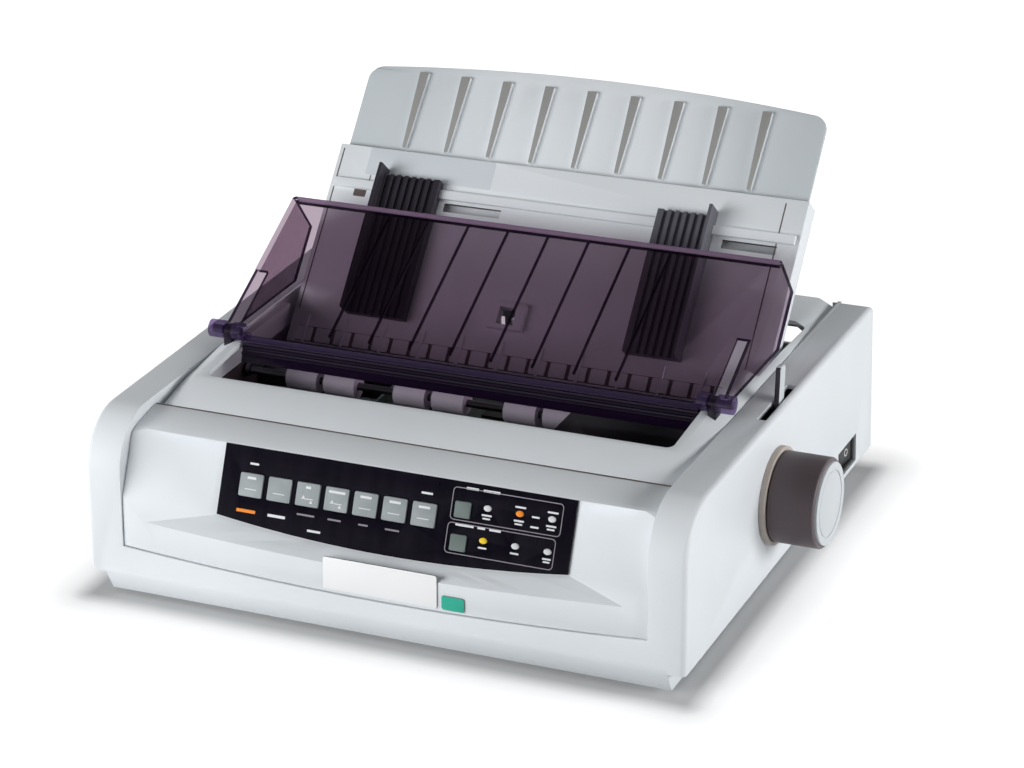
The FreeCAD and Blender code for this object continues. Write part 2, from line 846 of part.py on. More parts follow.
# Side frames and what they carry
frame_front_y = 58.0
frame_rear_gap = 45.0
frame_rear_y = body_depth - frame_rear_gap
frame_front_z = platen_z
frame_top_z = deck_bottom - seat_gap
frame_slope_y = 88.0
frame_corner = 4.0
frame_foot_width = 12.0
bush_radius = 9.0
bush_flange = 2.0
bush_flange_radius = 12.0
tractor_bush_radius = 6.0
tractor_shaft_radius = 4.0
stud_radius = 3.0
gear_width = 6.0
gear_x1 = -centre_half_width
gear_x0 = gear_x1 - gear_width
bail_pivot_reach = 41.0
bail_pivot_rise = 27.5
bail_pivot_y = platen_y + bail_pivot_reach
bail_pivot_z = platen_z + bail_pivot_rise
bail_pin_radius = 2.5
lever_pivot_reach = 22.0
lever_pivot_drop = 30.0
lever_pivot_y = platen_y + lever_pivot_reach
lever_pivot_z = body_height - lever_pivot_drop


def side_frame(side, holes, studs):
    corners = [(frame_front_y, floor_top, 0), (frame_front_y, frame_front_z, frame_corner),
               (frame_slope_y, frame_top_z, frame_corner), (frame_rear_y, frame_top_z, frame_corner),
               (frame_rear_y, floor_top, 0)]
    plate = prism_x(corners, frame_inner_x, frame_outer_x)
    foot = box(frame_inner_x - frame_foot_width, frame_outer_x, frame_front_y, frame_rear_y,
               floor_top, floor_top + frame_thickness)
    plate = plate.fuse(foot)
    if side < 0:
        plate = mirrored(plate)
    plate = plate.cut([rod_x(-half_body, half_body, y, z, radius) for y, z, radius in holes])
    return plate.fuse(studs)


# Gear train on the outside of the left frame
gear_module = 1.5
platen_teeth = 30
idler_teeth = 25
pinion_teeth = 12
pressure_angle = 20.0
addendum_share = 1.0
dedendum_share = 1.25
gear_backlash = 0.35
gear_spacing = 0.15
idler_direction = -35.0
second_idler_direction = 8.0
tractor_direction = 16.0
pinion_direction = 80.0


def involute(angle):
    return math.tan(angle) - angle


def gear(teeth, phase, y, z, bore):
    """A spur gear on an axis along x, with one tooth at the given phase angle."""
    pitch_radius = gear_module * teeth / 2
    base_radius = pitch_radius * math.cos(math.radians(pressure_angle))
    tip_radius = pitch_radius + addendum_share * gear_module
    root_radius = pitch_radius - dedendum_share * gear_module
    half_tooth = math.pi / (2 * teeth) - gear_backlash / (2 * pitch_radius)
    flank = []
    for radius in (root_radius, pitch_radius, tip_radius):
        roll = math.acos(min(1.0, base_radius / radius))
        spread = half_tooth + involute(math.radians(pressure_angle)) - involute(roll)
        flank.append((radius, spread))
    points = []
    for tooth in range(teeth):
        middle = math.radians(phase) + 2 * math.pi * tooth / teeth
        for radius, spread in flank:
            points.append((radius, middle - spread))
        for radius, spread in reversed(flank):
            points.append((radius, middle + spread))
    corners = [(y + r * math.cos(a), z + r * math.sin(a)) for r, a in points]
    body = prism_x(sharp(corners), gear_x0, gear_x1)
    return body.cut(rod_x(gear_x0 - overrun, gear_x1 + overrun, y, z, bore))


def gear_centre(y, z, direction, teeth_a, teeth_b):
    """The axis of a gear in mesh with one at (y, z), in the given direction from it."""
    distance = gear_module * (teeth_a + teeth_b) / 2 + gear_spacing
    angle = math.radians(direction)
    return y + distance * math.cos(angle), z + distance * math.sin(angle)


def mesh_phase(phase, teeth_a, direction, teeth_b):
    """The phase of the next gear, which puts its gap opposite the first gear's tooth."""
    return direction + 180 - (phase - direction) * teeth_a / teeth_b + 180 / teeth_b


first_y, first_z = gear_centre(platen_y, platen_z, idler_direction, platen_teeth, idler_teeth)
second_y, second_z = gear_centre(first_y, first_z, second_idler_direction, idler_teeth, idler_teeth)
tractor_y, tractor_z = gear_centre(second_y, second_z, tractor_direction, idler_teeth, idler_teeth)
pinion_y, pinion_z = gear_centre(first_y, first_z, pinion_direction, idler_teeth, pinion_teeth)
first_phase = mesh_phase(0, platen_teeth, idler_direction, idler_teeth)
second_phase = mesh_phase(first_phase, idler_teeth, second_idler_direction, idler_teeth)
tractor_phase = mesh_phase(second_phase, idler_teeth, tractor_direction, idler_teeth)
pinion_phase = mesh_phase(first_phase, idler_teeth, pinion_direction, pinion_teeth)


def idler_gear(phase, y, z):
    return gear(idler_teeth, phase, y, z, stud_radius + bearing_clearance)


# Feed motor inside the left frame
feed_motor_size = 34.0
feed_motor_length = 30.0
feed_motor_corner = 4.0
motor_shaft_radius = 2.5
pinion_clear_radius = 5.0


def feed_motor():
    half = feed_motor_size / 2
    corners = [(pinion_y - half, pinion_z - half, feed_motor_corner),
               (pinion_y + half, pinion_z - half, feed_motor_corner),
               (pinion_y + half, pinion_z + half, feed_motor_corner),
               (pinion_y - half, pinion_z + half, feed_motor_corner)]
    can = prism_x(corners, -frame_inner_x, feed_motor_length - frame_inner_x)
    nose = rod_x(-frame_outer_x, -frame_inner_x, pinion_y, pinion_z, pinion_clear_radius - seat_gap)
    return can.fuse(nose)


def motor_pinion():
    """The pinion with its shaft, which starts just clear of the motor's nose."""
    wheel = gear(pinion_teeth, pinion_phase, pinion_y, pinion_z, motor_shaft_radius)
    shaft = rod_x(gear_x0, -frame_outer_x - seat_gap, pinion_y, pinion_z, motor_shaft_radius)
    return wheel.fuse(shaft)


def left_frame():
    holes = [(platen_y, platen_z, bush_radius), (carriage_shaft_y, carriage_shaft_z, carriage_shaft_radius),
             (pinion_y, pinion_z, pinion_clear_radius), (tractor_y, tractor_z, tractor_bush_radius),
             (bail_pivot_y, bail_pivot_z, bail_pin_radius + bearing_clearance), tray_pin_hole()]
    studs = [rod_x(gear_x0 - seat_gap, -frame_inner_x, y, z, stud_radius)
             for y, z in ((first_y, first_z), (second_y, second_z))]
    return side_frame(-1, holes, studs)


def right_frame():
    holes = [(platen_y, platen_z, bush_radius), (carriage_shaft_y, carriage_shaft_z, carriage_shaft_radius),
             (tractor_y, tractor_z, tractor_bush_radius),
             (bail_pivot_y, bail_pivot_z, bail_pin_radius + bearing_clearance), tray_pin_hole()]
    lever_stud = rod_x(frame_inner_x, lever_x1 + seat_gap, lever_pivot_y, lever_pivot_z, stud_radius)
    return side_frame(1, holes, [lever_stud])


def tray_pin_hole():
    y, z = on_slope(separator_angle, separator_y, separator_z, tray_pin_up, tray_pin_out)
    return y, z, tray_pin_radius + bearing_clearance


# Platen: rubber roller, steel shaft, gear, hand knob and its cap, turning in two bushes
platen_end_gap = 20.2
platen_half_length = frame_inner_x - platen_end_gap
platen_core_radius = 15.0
knob_gap = 4.4
knob_length = 29.6
knob_x0 = half_body + knob_gap
knob_x1 = knob_x0 + knob_length
knob_radius = 28.5
knob_cap_radius = 26.0
knob_cap_depth = 4.0
knob_cap_rise = 1.8
knob_edge_radius = 1.5
knob_core_radius = 9.0
knob_skin = 3.0
collar_height = 3.8
collar_radius = 31.0
collar_ring = 3.0


def platen_roller():
    roller = rod_x(-platen_half_length, platen_half_length, platen_y, platen_z, platen_radius)
    return roller.cut(rod_x(-half_body, half_body, platen_y, platen_z, platen_core_radius))


def platen_shaft():
    shaft = rod_x(gear_x0 - seat_gap, knob_x1 - knob_cap_depth, platen_y, platen_z, platen_shaft_radius)
    core = rod_x(-platen_half_length, platen_half_length, platen_y, platen_z, platen_core_radius)
    return shaft.fuse(core)


def platen_gear():
    return gear(platen_teeth, 0, platen_y, platen_z, platen_shaft_radius)


def shaft_bushes():
    inner = frame_inner_x - bush_flange
    bush = rod_x(inner, frame_outer_x, platen_y, platen_z, bush_radius)
    bush = bush.fuse(rod_x(inner, frame_inner_x, platen_y, platen_z, bush_flange_radius))
    bush = bush.cut(rod_x(0, half_body, platen_y, platen_z, platen_shaft_radius + bearing_clearance))
    small = rod_x(frame_inner_x, frame_outer_x, tractor_y, tractor_z, tractor_bush_radius)
    small = small.cut(rod_x(0, half_body, tractor_y, tractor_z, tractor_shaft_radius + bearing_clearance))
    return Part.makeCompound(both_sides(bush) + both_sides(small))


def knob_collar():
    ring = rod_x(half_body, half_body + collar_height, platen_y, platen_z, collar_radius)
    ring = ring.cut(rod_x(half_body + collar_ring / 2, half_body + overrun, platen_y, platen_z,
                          collar_radius - collar_ring))
    return ring.cut(rod_x(0, half_body + overrun, platen_y, platen_z, shaft_hole_radius))


def platen_knob():
    body = rod_x(knob_x0, knob_x1, platen_y, platen_z, knob_radius)
    rims = [e for e in body.Edges if abs(e.BoundBox.XMax - knob_x1) < tiny and e.BoundBox.XLength < tiny]
    body = body.makeFillet(knob_edge_radius, rims)
    recess = rod_x(knob_x1 - knob_cap_depth, knob_x1 + overrun, platen_y, platen_z, knob_cap_radius)
    back = rod_x(knob_x0 - overrun, knob_x1 - knob_cap_depth - knob_skin, platen_y, platen_z,
                 knob_radius - knob_skin)
    back = back.cut(rod_x(knob_x0 - overrun, knob_x1, platen_y, platen_z, knob_core_radius))
    bore = rod_x(knob_x0 - overrun, knob_x1, platen_y, platen_z, platen_shaft_radius)
    return body.cut([recess, back, bore])


def knob_cap():
    x0 = knob_x1 - knob_cap_depth
    cap = rod_x(x0, knob_x1 + knob_cap_rise, platen_y, platen_z, knob_cap_radius)
    rims = [e for e in cap.Edges if abs(e.BoundBox.XMax - knob_x1 - knob_cap_rise) < tiny
            and e.BoundBox.XLength < tiny]
    return cap.makeFillet(knob_cap_rise / 2, rims)


# Carriage with the print head and the ribbon cartridge
carriage_park_gap = 58.2
carriage_x = frame_inner_x - carriage_park_gap
carriage_half_width = 32.0
carriage_front = 23.4
carriage_rear = 16.0
carriage_below = 9.0
carriage_above = 10.0
carriage_front_y = carriage_shaft_y - carriage_front
carriage_rear_y = carriage_shaft_y + carriage_rear
carriage_z0 = carriage_shaft_z - carriage_below
carriage_z1 = carriage_shaft_z + carriage_above
guide_rail_reach = 30.0
guide_rail_y = carriage_shaft_y - guide_rail_reach
guide_rail_thickness = 2.0
guide_rail_rise = 2.0
guide_rail_top = carriage_z1 + guide_rail_rise
slider_lead = 6.0
slider_depth = 8.0
slider_y0 = guide_rail_y - slider_lead
slider_z0 = carriage_z1 - slider_depth
slider_wall = 3.0
clamp_half_width = 9.0
head_half_width = 15.0
head_front = 18.0
head_rear = 22.0
head_height = 25.0
head_nose_length = 11.0
head_nose_height = 5.0
head_y0 = carriage_shaft_y - head_front
head_y1 = carriage_shaft_y + head_rear
head_z1 = carriage_z1 + head_height
head_nose_y = head_y1 + head_nose_length
head_nose_half_width = 7.0
head_nose_z0 = platen_z - head_nose_height
head_nose_z1 = platen_z + head_nose_height
fin_count = 6
fin_pitch = 5.5
fin_thickness = 2.2
cartridge_half_width = 42.0
cartridge_front = 89.0
cartridge_rear = 6.0
cartridge_step_reach = 27.0
cartridge_step = 3.5
cartridge_height = 24.7
cartridge_y0 = platen_y - cartridge_front
cartridge_y1 = platen_y - cartridge_rear
cartridge_step_y = platen_y - cartridge_step_reach
cartridge_z0 = head_z1 + seat_gap
cartridge_step_z = platen_z + platen_radius + cartridge_step
cartridge_z1 = cartridge_z0 + cartridge_height
cartridge_corner = 4.0
cartridge_knob_radius = 8.0
cartridge_knob_height = 1.5


def carriage():
    left = carriage_x - carriage_half_width
    right = carriage_x + carriage_half_width
    body = round_box(left, right, carriage_front_y, carriage_rear_y, carriage_z0, carriage_z1, slider_wall)
    bore = rod_x(left - overrun, right + overrun, carriage_shaft_y, carriage_shaft_z,
                 carriage_shaft_radius + bearing_clearance)
    slider = box(left + carriage_half_width / 2, right - carriage_half_width / 2, slider_y0,
                 carriage_front_y + overrun, slider_z0, guide_rail_top + slide_gap + slider_wall)
    slot = box(left, right, guide_rail_y - slide_gap, guide_rail_y + guide_rail_thickness + slide_gap,
               slider_z0 - overrun, guide_rail_top + slide_gap)
    clamp_y = pulley_y + pulley_radius
    clamp = box(carriage_x - clamp_half_width, carriage_x + clamp_half_width, clamp_y - slider_wall,
                clamp_y + 2 * slider_wall, belt_z0 - slider_wall, carriage_z0)
    belt_slot = box(left, right, clamp_y - seat_gap, clamp_y + belt_thickness + 2 * seat_gap,
                    belt_z0 - seat_gap, belt_z1 + seat_gap)
    return body.fuse([slider, clamp]).cut([bore, slot, belt_slot])


def print_head():
    body = box(carriage_x - head_half_width, carriage_x + head_half_width, head_y0, head_y1,
               carriage_z1, head_z1)
    nose = Part.makeLoft([
        nose_section(head_y1, head_half_width, carriage_z1, head_z1 - overrun),
        nose_section(head_nose_y, head_nose_half_width, head_nose_z0, head_nose_z1)], True, True)
    slots = []
    for i in range(fin_count):
        y = head_y0 + fin_pitch * (i + 1) - fin_thickness
        slots.append(box(carriage_x - half_body, carriage_x + half_body, y, y + fin_thickness,
                         head_nose_z1, head_z1 + overrun))
    return body.cut(slots).fuse(nose)


def nose_section(y, half_width, z0, z1):
    return Part.makePolygon([V(carriage_x - half_width, y, z0), V(carriage_x + half_width, y, z0),
                             V(carriage_x + half_width, y, z1), V(carriage_x - half_width, y, z1),
                             V(carriage_x - half_width, y, z0)])


def ribbon_cartridge():
    corners = [(cartridge_y0, cartridge_z0, 0), (cartridge_step_y, cartridge_z0, 0),
               (cartridge_step_y, cartridge_step_z, 0), (cartridge_y1, cartridge_step_z, 0),
               (cartridge_y1, cartridge_z1, cartridge_corner),
               (cartridge_y0, cartridge_z1, cartridge_corner)]
    body = prism_x(corners, carriage_x - cartridge_half_width, carriage_x + cartridge_half_width)
    knob = rod_z(cartridge_z1, cartridge_z1 + cartridge_knob_height, carriage_x - cartridge_half_width / 2,
                 (cartridge_y0 + cartridge_step_y) / 2, cartridge_knob_radius)
    return body.fuse(knob)


def carriage_shaft():
    return rod_x(-frame_outer_x, frame_outer_x, carriage_shaft_y, carriage_shaft_z, carriage_shaft_radius)


def guide_rail():
    web = box(-frame_inner_x, frame_inner_x, guide_rail_y, guide_rail_y + guide_rail_thickness,
              slider_z0 - 2 * overrun, guide_rail_top)
    return web


# Carriage drive: motor, two toothed pulleys and the belt
pulley_reach = 14.0
pulley_side_gap = 18.2
pulley_y = carriage_shaft_y - pulley_reach
pulley_x = frame_inner_x - pulley_side_gap
pulley_radius = 7.0
pulley_z0 = 24.0
pulley_z1 = 31.0
belt_thickness = 1.4
belt_z0 = 25.0
belt_z1 = 30.0
pulley_bore = 2.5
carriage_motor_radius = 15.0
idler_base_radius = 5.0
belt_gap = 0.1


def pulley(x):
    wheel = rod_z(belt_z0 - seat_gap, belt_z1 + seat_gap, x, pulley_y, pulley_radius)
    low = rod_z(pulley_z0, belt_z0 - seat_gap, x, pulley_y, pulley_radius + 2 * belt_thickness)
    high = rod_z(belt_z1 + seat_gap, pulley_z1, x, pulley_y, pulley_radius + 2 * belt_thickness)
    return wheel.fuse([low, high])


def motor_pulley():
    bore = rod_z(0, body_height, -pulley_x, pulley_y, pulley_bore + bearing_clearance)
    return pulley(-pulley_x).cut(bore)


def idler_pulley():
    bore = rod_z(0, body_height, pulley_x, pulley_y, pulley_bore + bearing_clearance)
    return pulley(pulley_x).cut(bore)


def belt_loop(radius):
    """A long round-ended block about both pulleys."""
    front = pulley_y - radius
    rear = pulley_y + radius
    right = Part.Arc(V(pulley_x, front, belt_z0), V(pulley_x + radius, pulley_y, belt_z0),
                     V(pulley_x, rear, belt_z0)).toShape()
    left = Part.Arc(V(-pulley_x, rear, belt_z0), V(-pulley_x - radius, pulley_y, belt_z0),
                    V(-pulley_x, front, belt_z0)).toShape()
    runs = [Part.makeLine(V(-pulley_x, front, belt_z0), V(pulley_x, front, belt_z0)),
            Part.makeLine(V(pulley_x, rear, belt_z0), V(-pulley_x, rear, belt_z0))]
    wire = Part.Wire([runs[0], right, runs[1], left])
    return Part.Face(wire).extrude(V(0, 0, belt_z1 - belt_z0))


def drive_belt():
    inner = pulley_radius + belt_gap
    return belt_loop(inner + belt_thickness).cut(belt_loop(inner))


def carriage_motor():
    low = floor_top + frame_thickness
    can = rod_z(low, pulley_z0 - seat_gap, -pulley_x, pulley_y, carriage_motor_radius)
    shaft = rod_z(low, pulley_z1, -pulley_x, pulley_y, pulley_bore)
    return can.fuse(shaft)


def idler_post():
    base = rod_z(floor_top, pulley_z0 - seat_gap, pulley_x, pulley_y, idler_base_radius)
    return base.fuse(rod_z(floor_top, pulley_z1, pulley_x, pulley_y, pulley_bore))


# Paper bail with its pressure rollers
bail_arm_gap = 2.2
bail_arm_width = 2.4
bail_arm_x1 = frame_inner_x - bail_arm_gap
bail_arm_x0 = bail_arm_x1 - bail_arm_width
bail_arm_half_width = 4.5
bail_shaft_radius = 2.5
bail_roller_radius = 8.0
bail_shift_y = 6.0
bail_roller_length = 22.0
bail_roller_gap = 5.0
bail_roller_shift = 3.5
bail_pairs = 4
bail_end_margin = 23.2
bail_pair_pitch = (2 * bail_arm_x0 - bail_end_margin) / bail_pairs
bail_y = platen_y + bail_shift_y
bail_z = platen_z + math.sqrt((platen_radius + bail_roller_radius + seat_gap) ** 2 - bail_shift_y ** 2)


def paper_bail():
    shaft = rod_x(-bail_arm_x1, bail_arm_x1, bail_y, bail_z, bail_shaft_radius)
    reach = math.hypot(bail_pivot_y - bail_y, bail_pivot_z - bail_z)
    arm = box(bail_arm_x0, bail_arm_x1, 0, reach, -bail_arm_half_width, bail_arm_half_width)
    angle = math.degrees(math.atan2(bail_pivot_z - bail_z, bail_pivot_y - bail_y))
    arm = tilted(arm, angle, bail_y, bail_z)
    ends = [rod_x(bail_arm_x0, bail_arm_x1, bail_y, bail_z, bail_arm_half_width),
            rod_x(bail_arm_x0, bail_arm_x1, bail_pivot_y, bail_pivot_z, bail_arm_half_width)]
    pin = rod_x(bail_arm_x0, frame_outer_x, bail_pivot_y, bail_pivot_z, bail_pin_radius)
    side = arm.fuse(ends + [pin])
    return shaft.fuse(both_sides(side))


def bail_rollers():
    rollers = []
    for i in range(bail_pairs):
        middle = (i - (bail_pairs - 1) / 2) * bail_pair_pitch + bail_roller_shift
        for x in (middle - bail_roller_gap / 2 - bail_roller_length, middle + bail_roller_gap / 2):
            roller = rod_x(x, x + bail_roller_length, bail_y, bail_z, bail_roller_radius)
            bore = rod_x(x - overrun, x + bail_roller_length + overrun, bail_y, bail_z,
                         bail_shaft_radius + bearing_clearance)
            rollers.append(roller.cut(bore))
    return Part.makeCompound(rollers)


# Curved paper deflector under the platen
deflector_gap = 2.2
deflector_thickness = 1.0
deflector_first_angle = 208.0
deflector_last_angle = 318.0


def arc_point(radius, degrees):
    angle = math.radians(degrees)
    return V(0, platen_y + radius * math.cos(angle), platen_z + radius * math.sin(angle))


def paper_deflector():
    inner = platen_radius + deflector_gap
    outer = inner + deflector_thickness
    middle = (deflector_first_angle + deflector_last_angle) / 2
    angles = (deflector_first_angle, middle, deflector_last_angle)
    near = [arc_point(inner, a) for a in angles]
    far = [arc_point(outer, a) for a in angles]
    wire = Part.Wire([Part.Arc(*near).toShape(), Part.makeLine(near[2], far[2]),
                      Part.Arc(far[2], far[1], far[0]).toShape(), Part.makeLine(far[0], near[0])])
    sheet = Part.Face(wire).extrude(V(2 * frame_inner_x, 0, 0))
    sheet.translate(V(-frame_inner_x, 0, 0))
    return sheet


# Tractors in the rear well
tractor_side_gap = 42.2
tractor_x = frame_inner_x - tractor_side_gap
tractor_half_width = 11.0
tractor_half_length = 24.0
tractor_low = 13.0
tractor_high = 15.0
tractor_corner = 6.0
tractor_pin_radius = 1.6
tractor_pin_height = 2.4
tractor_pin_pitch = 12.7
tractor_pins = 3
tractor_rail_shift = 15.0
tractor_rail_radius = 3.0


def tractor_shaft():
    shaft = rod_x(gear_x0 - seat_gap, frame_outer_x + seat_gap, tractor_y, tractor_z, tractor_shaft_radius)
    return shaft.fuse(gear(idler_teeth, tractor_phase, tractor_y, tractor_z, tractor_shaft_radius - tiny))


def tractor_rail():
    y = tractor_y + tractor_rail_shift
    return rod_x(-frame_inner_x, frame_inner_x, y, tractor_z, tractor_rail_radius)


def tractor(x):
    corners = [(tractor_y - tractor_half_length, tractor_z - tractor_low, tractor_corner),
               (tractor_y + tractor_half_length, tractor_z - tractor_low, tractor_corner),
               (tractor_y + tractor_half_length, tractor_z + tractor_high, tractor_corner),
               (tractor_y - tractor_half_length, tractor_z + tractor_high, tractor_corner)]
    body = prism_x(corners, x - tractor_half_width, x + tractor_half_width)
    pins = []
    for i in range(tractor_pins):
        y = tractor_y + (i - (tractor_pins - 1) / 2) * tractor_pin_pitch
        pins.append(rod_z(tractor_z + tractor_high, tractor_z + tractor_high + tractor_pin_height,
                          x, y, tractor_pin_radius))
    shaft = rod_x(-half_body, half_body, tractor_y, tractor_z, tractor_shaft_radius + bearing_clearance)
    rail = rod_x(-half_body, half_body, tractor_y + tractor_rail_shift, tractor_z,
                 tractor_rail_radius + bearing_clearance)
    return body.fuse(pins).cut([shaft, rail])


# Paper release lever, which stands up through its slot in the right fin
lever_thickness = 3.2
lever_x0 = (lever_slot_x0 + lever_slot_x1 - lever_thickness) / 2
lever_x1 = lever_x0 + lever_thickness
lever_tip_reach = 29.0
lever_tip_rise = 22.0
lever_tip_y = platen_y + lever_tip_reach
lever_tip_z = body_height + lever_tip_rise
lever_half_width = 4.8
lever_hub_radius = 7.0
lever_tip_radius = 2.5


def release_lever():
    hub = rod_x(frame_outer_x + slide_gap, lever_x1, lever_pivot_y, lever_pivot_z, lever_hub_radius)
    reach = math.hypot(lever_tip_y - lever_pivot_y, lever_tip_z - lever_pivot_z)
    angle = math.degrees(math.atan2(lever_tip_z - lever_pivot_z, lever_tip_y - lever_pivot_y))
    corners = [(0, -lever_half_width, 0), (reach, -lever_half_width, lever_tip_radius),
               (reach, lever_half_width, lever_tip_radius), (0, lever_half_width, 0)]
    arm = tilted(prism_x(corners, lever_x0, lever_x1), angle, lever_pivot_y, lever_pivot_z)
    bore = rod_x(0, half_body, lever_pivot_y, lever_pivot_z, stud_radius + bearing_clearance)
    return hub.fuse(arm).cut(bore)


# Power switch in the right wall, with its rocker
housing_depth = 16.0
housing_wall = 2.0
rocker_gap = 0.5
rocker_pin_radius = 1.5
rocker_rise = 1.0
rocker_angle = 10.0
rocker_depth = 7.0


def switch_centre():
    return (switch_y0 + switch_y1) / 2, (switch_z0 + switch_z1) / 2


def switch_housing():
    outer = half_body - wall / 2
    inner = half_body - wall - housing_depth
    gap = fit_gap
    shell = box(inner, outer, switch_y0 + gap, switch_y1 - gap, switch_z0 + gap, switch_z1 - gap)
    flange = box(inner, half_body - wall - gap, switch_y0 - housing_wall, switch_y1 + housing_wall,
                 switch_z0 + gap, switch_z1 + housing_wall)
    shell = shell.fuse(flange)
    well = box(inner + housing_wall, outer + overrun, switch_y0 + housing_wall, switch_y1 - housing_wall,
               switch_z0 + housing_wall, switch_z1 - housing_wall)
    y, z = switch_centre()
    pin = rod_z(switch_z0 + gap, switch_z1 - gap, rocker_x(), y, rocker_pin_radius)
    return shell.cut(well).fuse(pin)


def rocker_x():
    return half_body - wall - rocker_depth


def power_rocker():
    y, z = switch_centre()
    x = rocker_x()
    reach = (switch_y1 - switch_y0) / 2 - housing_wall - rocker_gap
    face = half_body - wall / 2 - rocker_rise
    half_height = (switch_z1 - switch_z0) / 2 - housing_wall - rocker_gap
    tilt = math.tan(math.radians(rocker_angle)) * reach
    back = x - rocker_pin_radius - rocker_rise
    corners = [(back, y - reach / 2), (face - tilt, y - reach + rocker_rise), (face - tilt / 2, y),
               (face, y + reach - rocker_rise), (back, y + reach / 2)]
    body = prism_z(sharp(corners), z - half_height, z + half_height)
    return body.cut(rod_z(0, body_height, x, y, rocker_pin_radius + bearing_clearance))


# Power inlet and sockets in the rear wall
inlet_depth = 20.0
inlet_wall = 2.0
inlet_pin_count = 3
inlet_pin_pitch = 7.0
inlet_pin_half = 1.0
inlet_pin_length = 13.0
fit_gap = 0.1


def power_inlet():
    half_x = inlet_width / 2 - fit_gap
    half_z = inlet_height / 2 - fit_gap
    body = box(inlet_x - half_x, inlet_x + half_x, body_depth - wall - inlet_depth, body_depth,
               inlet_z - half_z, inlet_z + half_z)
    flange = box(inlet_x - half_x - inlet_wall, inlet_x + half_x + inlet_wall,
                 body_depth - wall - inlet_depth, body_depth - wall, inlet_z - half_z - inlet_wall,
                 inlet_z + half_z + inlet_wall)
    corners = [(inlet_x - half_x + inlet_wall, inlet_z - half_z + inlet_wall, 0),
               (inlet_x + half_x - inlet_wall, inlet_z - half_z + inlet_wall, 0),
               (inlet_x + half_x - inlet_wall, inlet_z + half_z / 2, 0),
               (inlet_x + half_x - 2 * inlet_wall, inlet_z + half_z - inlet_wall, 0),
               (inlet_x - half_x + 2 * inlet_wall, inlet_z + half_z - inlet_wall, 0),
               (inlet_x - half_x + inlet_wall, inlet_z + half_z / 2, 0)]
    well = prism_y(corners, body_depth - wall - inlet_depth + inlet_wall, body_depth + overrun)
    pins = []
    for i in range(inlet_pin_count):
        x = inlet_x + (i - (inlet_pin_count - 1) / 2) * inlet_pin_pitch
        z = inlet_z + (inlet_pin_half if i == inlet_pin_count // 2 else -inlet_pin_half)
        pins.append(box(x - inlet_pin_half, x + inlet_pin_half, body_depth - wall - inlet_depth,
                        body_depth - wall - inlet_depth + inlet_pin_length,
                        z - 2 * inlet_pin_half, z + 2 * inlet_pin_half))
    return body.fuse(flange).cut(well).fuse(pins)


port_depth = 18.0
port_wall = 1.6
port_mouth = 6.0


def port(x, width, height):
    """An open socket that stands on the main board and looks out through the rear wall."""
    half_x = width / 2 - fit_gap
    half_z = height / 2 - fit_gap
    body = box(x - half_x, x + half_x, body_depth - wall - port_depth, body_depth,
               port_z - half_z, port_z + half_z)
    well = box(x - half_x + port_wall, x + half_x - port_wall, body_depth - wall - port_depth + port_wall,
               body_depth + overrun, port_z - half_z + port_wall, port_z + half_z - port_wall)
    tongue = box(x - half_x + 2 * port_wall, x + half_x - 2 * port_wall, body_depth - wall - port_depth,
                 body_depth - port_mouth, port_z - port_wall / 2, port_z + port_wall / 2)
    foot = box(x - half_x, x + half_x, body_depth - wall - port_depth, body_depth - wall - seat_gap,
               main_board_top, port_z - half_z)
    return body.cut(well).fuse([tongue, foot])


def interface_ports():
    return Part.makeCompound([port(parallel_x, parallel_width, parallel_height),
                              port(usb_x, usb_width, usb_height)])


# Main board and power supply
main_board_x0 = -130.0
main_board_x1 = 122.0
main_board_depth = 102.0
main_board_gap = 7.0
main_board_y1 = body_depth - main_board_gap
main_board_y0 = main_board_y1 - main_board_depth
main_board_top = 30.0
chip_height = 4.0
chip_columns = 4
chip_rows = 2
chip_x = -105.0
chip_pitch = 55.0
chip_row_pitch = 34.0
chip_margin = 24.0
chip_width = 30.0
chip_depth = 14.0
board_standoff_inset = 10.5
standoff_radius = 3.5
supply_side_gap = 14.2
supply_width = 118.0
supply_x1 = frame_inner_x - supply_side_gap
supply_x0 = supply_x1 - supply_width
supply_reach = 27.0
supply_depth = 44.0
supply_y0 = platen_y + supply_reach
supply_y1 = supply_y0 + supply_depth
supply_height = 40.0
supply_wall = 2.0
supply_slot_count = 9
supply_slot_pitch = 12.0
supply_slot_width = 5.0
supply_slot_margin = 10.0


def main_board():
    board = box(main_board_x0, main_board_x1, main_board_y0, main_board_y1,
                main_board_top - board_thickness, main_board_top)
    inset = board_standoff_inset
    parts = []
    for x in (main_board_x0 + inset, main_board_x1 - inset):
        for y in (main_board_y0 + inset, main_board_y1 - inset):
            parts.append(rod_z(floor_top, main_board_top - board_thickness, x, y, standoff_radius))
    for i in range(chip_columns * chip_rows):
        x = chip_x + (i // chip_rows) * chip_pitch
        y = main_board_y1 - chip_margin - (i % chip_rows) * chip_row_pitch
        parts.append(box(x, x + chip_width, y - chip_depth, y, main_board_top, main_board_top + chip_height))
    return board.fuse(parts)


def power_supply():
    shell = box(supply_x0, supply_x1, supply_y0, supply_y1, floor_top, floor_top + supply_height)
    hollow = box(supply_x0 + supply_wall, supply_x1 - supply_wall, supply_y0 + supply_wall,
                 supply_y1 - supply_wall, floor_top + supply_wall, floor_top + supply_height - supply_wall)
    shell = shell.cut(hollow)
    slots = []
    for i in range(supply_slot_count):
        x = supply_x0 + supply_slot_pitch * (i + 1) - supply_slot_width / 2
        slots.append(box(x, x + supply_slot_width, supply_y0 + supply_slot_margin,
                         supply_y1 - supply_slot_margin, floor_top + supply_height - supply_wall - overrun,
                         floor_top + supply_height + overrun))
    return shell.cut(slots)


